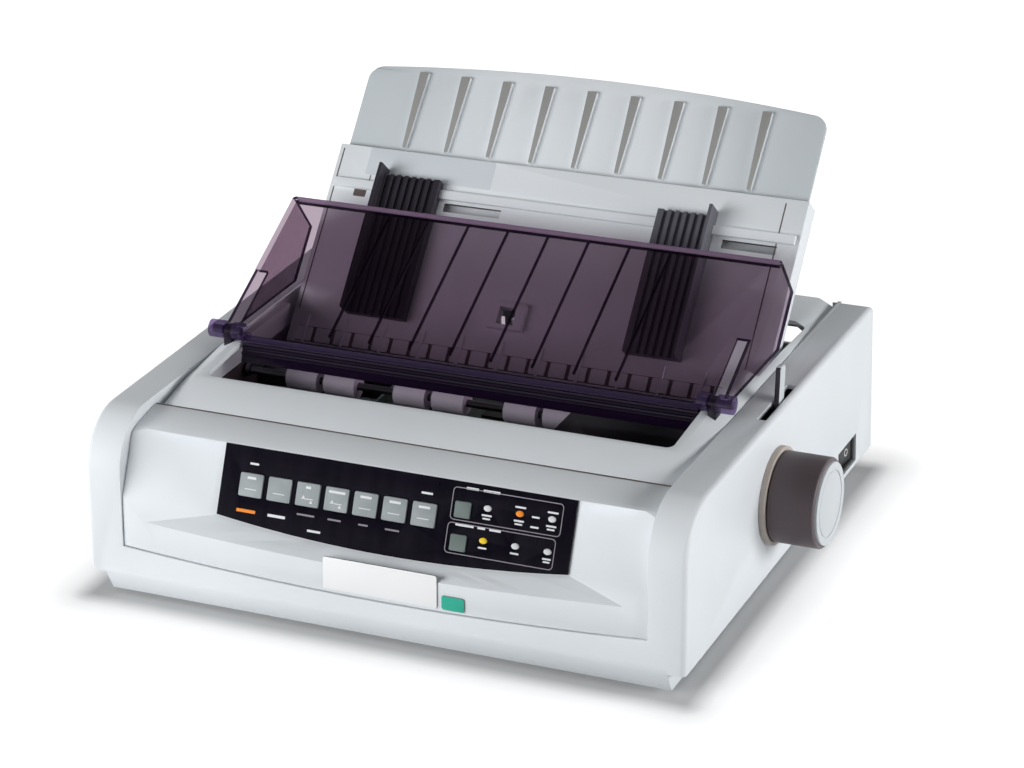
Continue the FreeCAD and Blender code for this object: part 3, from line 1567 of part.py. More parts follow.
# Export
PIECES = {
    "lower_case": lower_case(),
    "feet": feet(),
    "case_screws": case_screws(),
    "front_panel": front_panel(),
    "operator_panel": operator_plate(),
    "panel_board": panel_board(),
    "panel_lamps": panel_lamps(),
    "name_plate": front_plate(name_x0, name_x1, name_z0, name_z1),
    "green_plate": front_plate(green_x0, green_x1, green_z0, green_z1),
    "top_cover": top_cover(),
    "access_cover": access_cover(),
    "separator_tray": separator_tray(),
    "paper_support": paper_support(),
    "left_sheet_guide": sheet_guide(left_guide_x0, left_guide_x1, left_guide_x0),
    "right_sheet_guide": sheet_guide(right_guide_x0, right_guide_x1,
                                     right_guide_x1 - guide_flange_thickness),
    "left_frame": left_frame(),
    "right_frame": right_frame(),
    "platen_roller": platen_roller(),
    "platen_shaft": platen_shaft(),
    "platen_gear": platen_gear(),
    "shaft_bushes": shaft_bushes(),
    "knob_collar": knob_collar(),
    "platen_knob": platen_knob(),
    "knob_cap": knob_cap(),
    "first_idler_gear": idler_gear(first_phase, first_y, first_z),
    "second_idler_gear": idler_gear(second_phase, second_y, second_z),
    "motor_pinion": motor_pinion(),
    "feed_motor": feed_motor(),
    "carriage": carriage(),
    "print_head": print_head(),
    "ribbon_cartridge": ribbon_cartridge(),
    "carriage_shaft": carriage_shaft(),
    "guide_rail": guide_rail(),
    "motor_pulley": motor_pulley(),
    "idler_pulley": idler_pulley(),
    "drive_belt": drive_belt(),
    "carriage_motor": carriage_motor(),
    "paper_bail": paper_bail(),
    "bail_rollers": bail_rollers(),
    "paper_deflector": paper_deflector(),
    "tractor_shaft": tractor_shaft(),
    "tractor_rail": tractor_rail(),
    "left_tractor": tractor(-tractor_x),
    "right_tractor": tractor(tractor_x),
    "release_lever": release_lever(),
    "switch_housing": switch_housing(),
    "power_rocker": power_rocker(),
    "power_inlet": power_inlet(),
    "interface_ports": interface_ports(),
    "main_board": main_board(),
    "power_supply": power_supply(),
}
for key_name, key_place in key_places().items():
    PIECES[key_name] = panel_key(key_place)

# The origin is the middle of the footprint of the whole printer, on the desk
origin_x = (knob_x1 + knob_cap_rise - half_body) / 2
crown_y, crown_z = on_slope(separator_angle, separator_y, separator_z, support_top + support_bow,
                            support_front - support_thickness)
origin_y = crown_y / 2

os.makedirs("parts", exist_ok=True)
for name, shape in PIECES.items():
    placed = shape.copy()
    placed.translate(V(-origin_x, -origin_y, 0))
    placed.exportStep("parts/" + name + ".step")
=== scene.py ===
# %% [markdown]
# # A desktop dot matrix printer
# The printer's pieces come in as a fixed frame, in metres. This notebook gives each of them its finish,
# and models what a maker adds last: softened moulding edges, panel printing, lenses, screws and labels.
# Lengths are written in millimetres on the printer's own drawing, whose zero is the middle of its front edge,
# and the body shift takes them into the frame.

# %% Load the frame
import json
import math
import bpy
from mathutils import Matrix, Vector


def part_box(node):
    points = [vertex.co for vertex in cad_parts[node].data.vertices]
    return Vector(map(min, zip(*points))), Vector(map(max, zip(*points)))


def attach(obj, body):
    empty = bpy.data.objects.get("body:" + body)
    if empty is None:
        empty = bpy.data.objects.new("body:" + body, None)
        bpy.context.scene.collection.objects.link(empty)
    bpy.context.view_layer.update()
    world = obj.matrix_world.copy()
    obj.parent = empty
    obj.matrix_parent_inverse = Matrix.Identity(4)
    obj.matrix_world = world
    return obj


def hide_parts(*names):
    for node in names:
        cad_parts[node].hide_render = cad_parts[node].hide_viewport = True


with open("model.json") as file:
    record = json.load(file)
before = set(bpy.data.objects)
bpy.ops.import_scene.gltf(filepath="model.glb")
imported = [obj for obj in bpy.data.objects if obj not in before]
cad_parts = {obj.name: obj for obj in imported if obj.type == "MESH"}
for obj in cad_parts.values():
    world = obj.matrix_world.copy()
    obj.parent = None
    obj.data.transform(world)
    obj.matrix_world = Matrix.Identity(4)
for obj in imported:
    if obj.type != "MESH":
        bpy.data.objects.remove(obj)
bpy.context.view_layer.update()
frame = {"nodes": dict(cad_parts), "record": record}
nodes = frame["nodes"]
node_body = {node: body for body, members in frame["record"]["behaviour"]["bodies"].items()
             for node in members}
mm = 0.001
shift_x, shift_y = -17.9 * mm, -180.37 * mm
body_shift = Vector((shift_x, shift_y, 0.0))

# %% [markdown]
# ## The camera
# The photograph looks down on the printer from its right, with a long lens. Its place was worked out from
# the edges of the body, and it needs no shift. The small roll is the photograph's own.

# %% Camera
camera_data = bpy.data.cameras.new("camera")
camera_data.sensor_width = 36.0
camera_data.lens = 117.1
camera = bpy.data.objects.new("camera", camera_data)
camera.location = (0.79846, -1.77005, 0.95339)
camera.rotation_euler = [math.radians(v) for v in (66.3288, 1.5404, 23.7556)]
bpy.context.scene.collection.objects.link(camera)
bpy.context.scene.camera = camera
bpy.context.scene.view_settings.view_transform = "Standard"
print("camera at", [round(v, 3) for v in camera.location])

# %% [markdown]
# ## Helpers for modelling
# Operators act on all that is selected, so each step starts with nothing selected. A finished piece gets its
# place in its mesh, because the frame's own nodes are like that too.

# %% Selection and finishing
def only(piece):
    """Makes this the one selected and active object."""
    bpy.ops.object.select_all(action="DESELECT")
    piece.select_set(True)
    bpy.context.view_layer.objects.active = piece


def settle(piece, name):
    """Names a piece and moves its place, turn and size into its mesh."""
    only(piece)
    bpy.ops.object.transform_apply(location=True, rotation=True, scale=True)
    piece.name = name
    piece.data.name = name
    return piece


def apply_all(piece):
    """Applies the modifiers of a piece, in their order."""
    only(piece)
    for modifier in list(piece.modifiers):
        bpy.ops.object.modifier_apply(modifier=modifier.name)


def bevel(piece, width, segments=2, angle=35.0):
    """Rounds the edges that turn by more than the angle, in degrees."""
    modifier = piece.modifiers.new("edges", "BEVEL")
    modifier.width = width
    modifier.segments = segments
    modifier.limit_method = "ANGLE"
    modifier.angle_limit = math.radians(angle)
    apply_all(piece)


def smooth(piece, angle=32.0):
    """Shades the piece smooth, but for edges that turn by more than the angle, in degrees."""
    only(piece)
    bpy.ops.object.shade_smooth_by_angle(angle=math.radians(angle))


def joined(pieces, name):
    """Several pieces as one object."""
    bpy.ops.object.select_all(action="DESELECT")
    for piece in pieces:
        piece.select_set(True)
    bpy.context.view_layer.objects.active = pieces[0]
    if len(pieces) > 1:
        bpy.ops.object.join()
    return settle(bpy.context.view_layer.objects.active, name)


def paint(piece, material):
    """Gives the piece this one material."""
    piece.data.materials.clear()
    piece.data.materials.append(material)


def select_faces(piece, chosen):
    """Selects the faces for which chosen(centre, normal) is true, in edit mode's face mode."""
    only(piece)
    bpy.ops.object.mode_set(mode="EDIT")
    bpy.ops.mesh.select_mode(type="FACE")
    bpy.ops.mesh.select_all(action="DESELECT")
    bpy.ops.object.mode_set(mode="OBJECT")
    for polygon in piece.data.polygons:
        polygon.select = bool(chosen(polygon.center, polygon.normal))
    bpy.ops.object.mode_set(mode="EDIT")


def object_mode():
    """Leaves edit mode."""
    bpy.ops.object.mode_set(mode="OBJECT")


# %% [markdown]
# ## Materials
# Each finish starts from one Principled shader. A fine noise moves the colour a little, a second one breaks
# up the gloss, and a third gives the grain that a spark-eroded mould leaves on plastic. All of them read
# Object coordinates, so that the grain stays on the piece when it moves.

# %% Node helpers
def srgb(r, g, b):
    """A colour given as the eye sees it, 0 to 255, turned into the light values that shaders use."""
    linear = []
    for value in (r, g, b):
        share = value / 255.0
        linear.append(share / 12.92 if share <= 0.04045 else ((share + 0.055) / 1.055) ** 2.4)
    return (*linear, 1.0)


def shader_of(material):
    """The material's Principled shader."""
    return next(n for n in material.node_tree.nodes if n.type == "BSDF_PRINCIPLED")


def add_noise(material, scale, detail=3.0, stretch=(1.0, 1.0, 1.0)):
    """A noise on Object coordinates, and its output socket."""
    tree = material.node_tree
    place = tree.nodes.new("ShaderNodeTexCoord")
    mapping = tree.nodes.new("ShaderNodeMapping")
    mapping.inputs["Scale"].default_value = stretch
    noise = tree.nodes.new("ShaderNodeTexNoise")
    noise.inputs["Scale"].default_value = scale
    noise.inputs["Detail"].default_value = detail
    tree.links.new(place.outputs["Object"], mapping.inputs["Vector"])
    tree.links.new(mapping.outputs["Vector"], noise.inputs["Vector"])
    return noise.outputs["Fac"]


def tint(material, scale, dark, light, stretch=(1.0, 1.0, 1.0)):
    """Moves the base colour between two near colours."""
    tree = material.node_tree
    ramp = tree.nodes.new("ShaderNodeValToRGB")
    ramp.color_ramp.elements[0].position = 0.3
    ramp.color_ramp.elements[0].color = dark
    ramp.color_ramp.elements[1].position = 0.7
    ramp.color_ramp.elements[1].color = light
    tree.links.new(add_noise(material, scale, 4.0, stretch), ramp.inputs["Fac"])
    tree.links.new(ramp.outputs["Color"], shader_of(material).inputs["Base Color"])


def gloss(material, scale, low, high, stretch=(1.0, 1.0, 1.0)):
    """Moves the roughness between two values."""
    tree = material.node_tree
    spread = tree.nodes.new("ShaderNodeMapRange")
    spread.inputs["To Min"].default_value = low
    spread.inputs["To Max"].default_value = high
    tree.links.new(add_noise(material, scale, 2.0, stretch), spread.inputs["Value"])
    tree.links.new(spread.outputs["Result"], shader_of(material).inputs["Roughness"])


def grain(material, scale, strength, distance=0.0002, stretch=(1.0, 1.0, 1.0)):
    """Gives the surface a fine relief."""
    tree = material.node_tree
    bump = tree.nodes.new("ShaderNodeBump")
    bump.inputs["Strength"].default_value = strength
    bump.inputs["Distance"].default_value = distance
    tree.links.new(add_noise(material, scale, 2.0, stretch), bump.inputs["Height"])
    tree.links.new(bump.outputs["Normal"], shader_of(material).inputs["Normal"])


def finish(name, dark, light, low, high, tint_scale=9.0, gloss_scale=40.0, grain_scale=900.0,
           grain_strength=0.12, metallic=0.0, stretch=(1.0, 1.0, 1.0)):
    """A material with its own colour drift, gloss drift and grain."""
    material = bpy.data.materials.new(name)
    material.use_nodes = True
    shader_of(material).inputs["Metallic"].default_value = metallic
    tint(material, tint_scale, srgb(*dark), srgb(*light), stretch)
    gloss(material, gloss_scale, low, high, stretch)
    grain(material, grain_scale, grain_strength, stretch=stretch)
    return material


# %% [markdown]
# ### The plastics
# The housing is a cool light grey with a fine matt grain. The grip of the knob is a warm taupe, the guides
# and the cartridge are dark, and the gears are natural white. The film on the operator panel is nearly black,
# with a hint of purple, and much smoother.

# %% Plastics
housing = finish("housing_grey", (221, 226, 230), (227, 232, 236), 0.42, 0.52)
tray_grey = finish("separator_grey", (224, 229, 233), (230, 235, 239), 0.40, 0.50)
# Painted shade: the darker grey on the tops of the paper support's ridges.
ridge_shade_grey = finish("ridge_shade_grey", (150, 150, 148), (160, 160, 158), 0.45, 0.55)
# Painted shade in seams, slots and gaps: a dark brown.
seam_shade_brown = finish("seam_shade_brown", (92, 82, 80), (106, 96, 93), 0.50, 0.60)
knob_taupe = finish("knob_taupe", (86, 74, 79), (94, 82, 86), 0.45, 0.55, grain_strength=0.2)
cap_grey = finish("knob_face_grey", (198, 203, 207), (206, 211, 215), 0.40, 0.48)
collar_beige = finish("collar_beige", (176, 166, 158), (188, 178, 170), 0.45, 0.55)
panel_film = finish("panel_film", (8, 6, 16), (18, 14, 25), 0.24, 0.36, tint_scale=30.0, grain_scale=300.0,
                    grain_strength=0.05, stretch=(4.0, 0.2, 1.0))
shader_of(panel_film).inputs["Specular IOR Level"].default_value = 0.08
key_grey = finish("key_grey", (138, 146, 148), (158, 165, 167), 0.35, 0.45, tint_scale=60.0)
small_key_grey = finish("small_key_grey", (92, 104, 101), (108, 120, 117), 0.35, 0.45)
plate_white = finish("badge_white", (238, 239, 240), (244, 245, 246), 0.20, 0.28, grain_scale=200.0,
                     grain_strength=0.03)
plate_green = finish("badge_green", (12, 156, 132), (20, 170, 144), 0.22, 0.30, grain_scale=200.0,
                     grain_strength=0.03)
guide_dark = finish("guide_dark", (38, 34, 44), (48, 44, 54), 0.40, 0.50)
# Painted reflection: the right guide is the same dark plastic as the left, made lighter for the light it
# reflects.
guide_grey = finish("guide_grey", (84, 84, 92), (96, 96, 104), 0.40, 0.50)
lever_grey = finish("lever_grey", (192, 198, 202), (202, 208, 212), 0.40, 0.50)
lever_dark = finish("lever_dark", (34, 30, 40), (44, 40, 50), 0.40, 0.50)
cartridge_black = finish("cartridge_black", (6, 5, 9), (11, 10, 14), 0.34, 0.48)
shader_of(cartridge_black).inputs["Specular IOR Level"].default_value = 0.1
socket_black = finish("socket_black", (20, 20, 22), (28, 28, 30), 0.40, 0.55)
gear_white = finish("gear_white", (222, 220, 210), (232, 230, 222), 0.35, 0.45)
well_shade_brown = finish("well_shade_brown", (50, 40, 45), (60, 49, 54), 0.50, 0.62)
board_green = finish("board_green", (18, 56, 36), (25, 68, 44), 0.30, 0.42, tint_scale=60.0)
print("plastics:", len(bpy.data.materials))

# %% [markdown]
# ### Rubber and metal
# Rubber scatters light softly and shows no gloss. The sheet metal has brushed lines along the machine's
# width, which come from stretching the noise: it changes slowly along x and quickly across it.

# %% Rubber and metal
rubber_black = finish("rubber_black", (26, 25, 27), (36, 35, 37), 0.70, 0.85, grain_scale=500.0,
                      grain_strength=0.3)
roller_grey = finish("roller_grey", (192, 182, 200), (204, 194, 210), 0.45, 0.60)
along_x = (0.04, 1.0, 1.0)
steel = finish("plated_steel", (168, 170, 172), (192, 194, 196), 0.26, 0.40, tint_scale=160.0,
               gloss_scale=300.0, metallic=1.0, stretch=along_x)
dark_steel = finish("dark_steel", (92, 90, 96), (112, 110, 116), 0.30, 0.44, tint_scale=160.0,
                    gloss_scale=300.0, metallic=1.0, stretch=along_x)
brass = finish("turned_brass", (186, 150, 86), (204, 168, 100), 0.25, 0.38, metallic=1.0)
head_metal = finish("cast_alloy", (142, 144, 148), (160, 162, 166), 0.38, 0.52, metallic=1.0)
print("metals:", [metal.name for metal in (steel, dark_steel, brass, head_metal)])

# %% [markdown]
# ### Smoked plastic and lamp lenses
# The access cover is a clear plastic with a purple-grey smoke in it. Most of the light passes it straight and
# takes on the smoke's tint, at each of the sheet's two faces, and the rest meets the gloss of its surface. A
# tinted transparent shader mixed with the gloss does that, and not a refracting glass: the cover is thin and
# flat, so it bends nothing that the eye could see. Along its cut edges, its ribs and its bars one looks
# through much more of the plastic, so these get a denser smoke.

# %% Smoked plastic
def smoked_plastic(name, colour, smoke, share, low, high, specular):
    """A plastic that lets light through with the smoke's tint, but for the share that its surface takes."""
    material = finish(name, colour, [v + 6 for v in colour], low, high, grain_scale=60.0, grain_strength=0.02)
    shader = shader_of(material)
    shader.inputs["Specular IOR Level"].default_value = specular
    tree = material.node_tree
    clear = tree.nodes.new("ShaderNodeBsdfTransparent")
    clear.inputs["Color"].default_value = srgb(*smoke)
    blend = tree.nodes.new("ShaderNodeMixShader")
    blend.inputs["Fac"].default_value = share
    tree.links.new(clear.outputs["BSDF"], blend.inputs[1])
    tree.links.new(shader.outputs["BSDF"], blend.inputs[2])
    output = next(n for n in tree.nodes if n.type == "OUTPUT_MATERIAL")
    tree.links.new(blend.outputs["Shader"], output.inputs["Surface"])
    return material


cover_smoke = smoked_plastic("cover_smoke", (22, 10, 30), (218, 208, 216), 0.10, 0.10, 0.18, 0.3)
edge_smoke = smoked_plastic("edge_smoke", (22, 10, 32), (110, 84, 122), 0.70, 0.14, 0.22, 0.4)
barrel_smoke = smoked_plastic("barrel_smoke", (70, 54, 92), (206, 192, 222), 0.30, 0.08, 0.14, 1.0)
# Painted highlight: the light lilac on the cover's upper rim.
rim_highlight_lilac = smoked_plastic("rim_highlight_lilac", (206, 188, 214), (200, 186, 210), 0.85, 0.14, 0.22, 0.6)
print("smoked:", [smoke.name for smoke in (cover_smoke, edge_smoke, barrel_smoke, rim_highlight_lilac)])

# %% Rims, lenses and printing
# Painted shade: a dark grey line along the side rims of both plates.
plate_rim_shade = finish("plate_rim_shade", (84, 84, 90), (96, 96, 102), 0.35, 0.45)
label_grey = finish("label_grey", (208, 215, 221), (213, 220, 226), 0.30, 0.38, grain_strength=0.03)
lens_orange = finish("lens_orange", (236, 128, 20), (244, 142, 34), 0.12, 0.2)
lens_yellow = finish("lens_yellow", (240, 196, 30), (246, 208, 46), 0.12, 0.2)
lens_clear = finish("lens_clear", (206, 208, 210), (216, 218, 220), 0.12, 0.2)
print_white = finish("printing_white", (214, 216, 220), (224, 226, 229), 0.35, 0.45)
print_grey = finish("printing_grey", (128, 124, 132), (140, 136, 144), 0.35, 0.45)
print_orange = finish("printing_orange", (226, 128, 34), (236, 140, 46), 0.35, 0.45)
print("printing:", [printing.name for printing in (print_white, print_grey, print_orange)])

# %% [markdown]
# ### Painted shade on the paper support
# The paper support is bowed like a sheet of paper, so it catches most light in its middle and less towards
# both sides. That shade is painted into its colour. The colour follows the distance from the middle, light
# there and dark at both sides, with the same fine drift as the others.

# %% Paper support
def fall_off_sideways(material, middle_x, reach, light, dark, drift_share=0.12):
    """Painted shade: light at middle_x, going dark at a reach to either side, with a little noise."""
    tree = material.node_tree
    place = tree.nodes.new("ShaderNodeTexCoord")
    parts = tree.nodes.new("ShaderNodeSeparateXYZ")
    tree.links.new(place.outputs["Object"], parts.inputs["Vector"])
    value = parts.outputs["X"]
    for operation, operand in (("SUBTRACT", middle_x), ("ABSOLUTE", 0.0), ("DIVIDE", reach)):
        step = tree.nodes.new("ShaderNodeMath")
        step.operation = operation
        step.inputs[1].default_value = operand
        tree.links.new(value, step.inputs[0])
        value = step.outputs["Value"]
    drift = tree.nodes.new("ShaderNodeMath")
    drift.operation = "MULTIPLY_ADD"
    drift.inputs[1].default_value = drift_share
    tree.links.new(add_noise(material, 9.0, 4.0), drift.inputs[0])
    tree.links.new(value, drift.inputs[2])
    ramp = tree.nodes.new("ShaderNodeValToRGB")
    ramp.color_ramp.interpolation = "EASE"
    ramp.color_ramp.elements[0].position = 0.35
    ramp.color_ramp.elements[0].color = srgb(*light)
    ramp.color_ramp.elements[1].color = srgb(*dark)
    tree.links.new(drift.outputs["Value"], ramp.inputs["Fac"])
    tree.links.new(ramp.outputs["Color"], shader_of(material).inputs["Base Color"])


support_half_width = 168.0 * mm
support_painted_shade = finish("support_painted_shade", (226, 231, 235), (232, 237, 241), 0.40, 0.50)
# Painted shade: the support's colour darkens towards both sides.
fall_off_sideways(support_painted_shade, shift_x, support_half_width, (230, 235, 239), (200, 207, 211))
print("materials so far:", len(bpy.data.materials))

# %% [markdown]
# ## Softened mouldings
# No moulded edge is sharp, and a soft edge catches a line of light that makes it read as plastic. The frame's
# meshes are loose triangles, so a copy is merged and its flat triangles are joined to faces before a narrow
# bevel runs along its edges. The copy then stands for the node.

# %% The separator's slope
slope = math.radians(48.3)
separator_y, separator_z = 307.5 * mm + shift_y, 199.0 * mm


def up_the_separator(point):
    """How far a point lies up the slope of the separator, from its upper end."""
    return (point.y - separator_y) * math.cos(slope) + (point.z - separator_z) * math.sin(slope)


def out_of_the_separator(point):
    """How far a point stands out of the separator's face, towards the front."""
    return (point.z - separator_z) * math.cos(slope) - (point.y - separator_y) * math.sin(slope)


print("separator's top at y", round(separator_y, 4), "z", round(separator_z, 4))


# %% Soften copies of the frame's nodes
same_place = 0.05 * mm
corner_radius = 3.4 * mm
corner_up, corner_out = 55.0 * mm, 155.0 * mm
merge_distance, flat_angle = 0.01 * mm, 0.6


def round_the_corners(piece):
    """Rounds the four short edges at the upper corners of the paper support."""
    only(piece)
    bpy.ops.object.mode_set(mode="EDIT")
    bpy.ops.mesh.select_mode(type="EDGE")
    bpy.ops.mesh.select_all(action="DESELECT")
    object_mode()
    corners = piece.data.vertices
    for edge in piece.data.edges:
        ends = [corners[index].co for index in edge.vertices]
        level = abs(up_the_separator(ends[0]) - up_the_separator(ends[1])) < same_place
        through = level and abs(ends[0].x - ends[1].x) < same_place
        at_corner = up_the_separator(ends[0]) > corner_up and abs(ends[0].x - shift_x) > corner_out
        edge.select = through and at_corner
    bpy.ops.object.mode_set(mode="EDIT")
    bpy.ops.mesh.bevel(offset=corner_radius, segments=5, affect="EDGES")
    object_mode()


def softened(node, width, material):
    """A copy of a node with narrow rounded edges, which stands for that node."""
    piece = bpy.data.objects.new(node + "_piece", nodes[node].data.copy())
    bpy.context.scene.collection.objects.link(piece)
    only(piece)
    bpy.ops.object.mode_set(mode="EDIT")
    bpy.ops.mesh.select_all(action="SELECT")
    bpy.ops.mesh.remove_doubles(threshold=merge_distance)
    bpy.ops.mesh.dissolve_limited(angle_limit=math.radians(flat_angle), delimit={"NORMAL"})
    object_mode()
    if node == "paper_support":
        round_the_corners(piece)
    bevel(piece, width)
    smooth(piece)
    paint(piece, material)
    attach(piece, node_body[node])
    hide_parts(node)
    return piece


mouldings = [
    ("lower_case", 0.5, housing, "housing"), ("front_panel", 0.5, housing, "housing"),
    ("top_cover", 0.5, housing, "housing"), ("access_cover", 0.35, cover_smoke, "smoked"),
    ("separator_tray", 0.4, tray_grey, "housing"), ("paper_support", 0.5, support_painted_shade, "housing"),
    ("left_sheet_guide", 0.3, guide_dark, "guide_grey"),
    ("right_sheet_guide", 0.3, guide_grey, "guide_grey"),
    ("operator_panel", 0.15, panel_film, "panel_black"), ("name_plate", 0.2, plate_white, "plate_white"),
    ("green_plate", 0.2, plate_green, "plate_green"), ("knob_collar", 0.4, collar_beige, "housing"),
    ("platen_knob", 0.4, knob_taupe, "knob_taupe"),
    ("ribbon_cartridge", 0.8, cartridge_black, "housing_dark"),
    ("release_lever", 0.5, lever_grey, "guide_grey"), ("switch_housing", 0.3, socket_black, "housing_dark"),
    ("power_rocker", 0.5, socket_black, "housing_dark"), ("power_inlet", 0.4, socket_black, "housing_dark"),
    ("interface_ports", 0.3, socket_black, "housing_dark"),
    ("carriage", 0.5, cartridge_black, "housing_dark"), ("feet", 0.6, rubber_black, "rubber_dark"),
]
mouldings += [("key_" + str(number), 0.45, key_grey, "key_grey") for number in range(1, 8)]
mouldings += [(name, 0.45, small_key_grey, "key_grey") for name in ("quality_key", "pitch_key")]
pieces = {}
for node, width, material, slot_name in mouldings:
    pieces[node] = softened(node, width * mm, material)
    print("softened", node, len(pieces[node].data.polygons), "faces")

# %% [markdown]
# ### The works inside
# Shafts, gears, motors, boards and side plates are seen through the opening and the vents only. They keep the
# frame's own meshes and get a finish each. The side plates and the paper deflector are a dark brown, and the
# bail and the guide rail dark steel: painted shade of the deep well they stand in.

# %% Finish the nodes that keep their own mesh
# Painted shade of the well: dark brown on the frames and deflector, dark steel on the bail and the rail.
kept = {
    "case_screws": steel, "panel_board": board_green, "panel_lamps": lens_clear,
    "left_frame": well_shade_brown, "right_frame": well_shade_brown, "platen_roller": rubber_black,
    "platen_shaft": steel, "platen_gear": gear_white, "shaft_bushes": brass,
    "first_idler_gear": gear_white, "second_idler_gear": gear_white, "motor_pinion": brass,
    "feed_motor": dark_steel, "print_head": head_metal, "carriage_shaft": steel,
    "guide_rail": dark_steel, "motor_pulley": gear_white, "idler_pulley": gear_white,
    "drive_belt": rubber_black, "carriage_motor": dark_steel, "paper_bail": dark_steel,
    "bail_rollers": roller_grey, "paper_deflector": well_shade_brown, "tractor_shaft": steel,
    "tractor_rail": steel, "left_tractor": cartridge_black, "right_tractor": cartridge_black,
    "main_board": board_green, "power_supply": steel,
}
for node, material in kept.items():
    paint(nodes[node], material)
print("finished", len(kept), "nodes as they are")

# %% [markdown]
# ### Denser smoke, and a painted highlight
# More materials go onto the cover's own faces. A long narrow face is as wide as twice its area over its
# perimeter, and whatever is narrower than the sheet is thick belongs to an edge, a rib or a bar. The faces
# near the hinge's axis are the barrels, and the cover's lip and its upper rim are picked out by their places.
# The lip gets the denser smoke, and the upper rim a light lilac: a painted highlight along the cover's top
# edge.
# The ears' posts, which stand inside the barrels, are dark too.

# %% Faces by width and by place
def face_width(mesh, polygon):
    """How wide a long narrow face is."""
    corners = [mesh.vertices[index].co for index in polygon.vertices]
    around = sum((corners[i] - corners[i - 1]).length for i in range(len(corners)))
    return 2 * polygon.area / around


def assign(piece, material, chosen):
    """Adds a material slot and gives it to the faces for which chosen(polygon) is true."""
    piece.data.materials.append(material)
    slot_number = len(piece.data.materials) - 1
    picked = [polygon.index for polygon in piece.data.polygons if chosen(polygon)]
    for index in picked:
        piece.data.polygons[index].material_index = slot_number
    return len(picked)


hinge_y, hinge_z = 137.0 * mm + shift_y, 130.3 * mm
sheet_thickness = 2.6 * mm
barrel_reach, post_reach = 6.2 * mm, 5.6 * mm
post_out, post_half_width, post_half_depth, post_foot_z = 165.8 * mm, 3.4 * mm, 5.0 * mm, 118.4 * mm
lip_front, lip_rear, lip_low, lip_high = -6.6 * mm, 0.2 * mm, 111.0 * mm, 127.8 * mm
lip_half_width = 158.0 * mm
rim_tilt, rim_z, rim_along, rim_half_width = math.radians(27.3), 128.0 * mm, 120.4 * mm, 150.0 * mm


def near_hinge(polygon, reach):
    """Whether a face lies within reach of the axis that the cover swings about."""
    return math.hypot(polygon.center.y - hinge_y, polygon.center.z - hinge_z) < reach


def in_post(polygon):
    """The feet of the two ears, which stand on the deck inside the barrels."""
    beside = abs(abs(polygon.center.x - shift_x) - post_out) < post_half_width
    return beside and abs(polygon.center.y - hinge_y) < post_half_depth and polygon.center.z > post_foot_z


def in_lip(polygon):
    """The cover's front lip, which hangs down into the opening."""
    within = abs(polygon.center.x - shift_x) < lip_half_width
    y, z = polygon.center.y - hinge_y, polygon.center.z
    return within and lip_front < y < lip_rear and lip_low < z < lip_high


def on_upper_rim(polygon):
    """The end face of the cover, between its two upper corners."""
    y, z = polygon.center.y - hinge_y, polygon.center.z - rim_z
    along = y * math.cos(rim_tilt) + z * math.sin(rim_tilt)
    return along > rim_along and abs(polygon.center.x - shift_x) < rim_half_width


print("hinge axis at y", round(hinge_y, 4), "z", round(hinge_z, 4))

# %% Edges, ribs, bars and barrels
cover, deck = pieces["access_cover"], pieces["top_cover"]
print("edge faces", assign(cover, edge_smoke, lambda face: face_width(cover.data, face) < sheet_thickness))
print("lip faces", assign(cover, edge_smoke, in_lip))
print("barrel faces", assign(cover, barrel_smoke, lambda face: near_hinge(face, barrel_reach)))
print("post faces", assign(deck, edge_smoke, lambda face: near_hinge(face, post_reach) or in_post(face)))
print("rim faces", assign(cover, rim_highlight_lilac, on_upper_rim))

# %% [markdown]
# ### Faces with a finish of their own, and painted shade
# A few CAD pieces carry parts that a maker would finish differently: the label place, the blades in the
# inlet, and the chips on the main board. The lever's front edge is darker. Painted shade goes onto the
# plates' side rims, the ridges of the paper support and the separator's slots. They are picked out by their
# places.

# %% Where these faces lie
label_x0, label_x1, label_foot, label_area = -146.0, -50.0, -19.3, 900.0 * mm * mm
blade_columns, blade_half_width = (143.0, 150.0, 157.0), 1.3
blade_z0, blade_z1, blade_y0, blade_y1 = 38.0, 46.0, 325.0, 336.0
ridge_out, ridge_up = -3.5 * mm, 4.0 * mm
slot_foot, slot_head, slot_out = -38.5, -31.5, -0.3
slot_spans = ((-82.0, -39.0), (115.0, 154.0))


def on_drawing(point):
    """A point of the frame on the printer's drawing, in millimetres."""
    return (point.x - shift_x) / mm, (point.y - shift_y) / mm, point.z / mm


def on_label(polygon):
    """The large flat face of the label place."""
    x = on_drawing(polygon.center)[0]
    wide = label_x0 < x < label_x1 and polygon.area > label_area
    return wide and polygon.normal.y < -0.2 and up_the_separator(polygon.center) > label_foot * mm


def in_blades(polygon):
    """The three contact blades in the power inlet."""
    x, y, z = on_drawing(polygon.center)
    beside = min(abs(x - middle) for middle in blade_columns) < blade_half_width
    return beside and blade_z0 < z < blade_z1 and blade_y0 < y < blade_y1


def on_ridge(polygon):
    """The wedge ridges, which stand out of the paper support."""
    return out_of_the_separator(polygon.center) > ridge_out and up_the_separator(polygon.center) > ridge_up


def in_slot(polygon):
    """The inner walls of the separator's two slots."""
    up, out = up_the_separator(polygon.center) / mm, out_of_the_separator(polygon.center) / mm
    x = on_drawing(polygon.center)[0]
    across = any(x0 < x < x1 for x0, x1 in slot_spans)
    return across and slot_foot < up < slot_head and out < slot_out


print("label from", label_x0, "to", label_x1, "slots", slot_spans)

# %% Rims, label place, blades, ridges and chips
# Painted shade along the plates' side rims.
for name in ("name_plate", "green_plate"):
    assign(pieces[name], plate_rim_shade, lambda face: face.normal.y > -0.8)
print("label faces", assign(pieces["separator_tray"], label_grey, on_label))
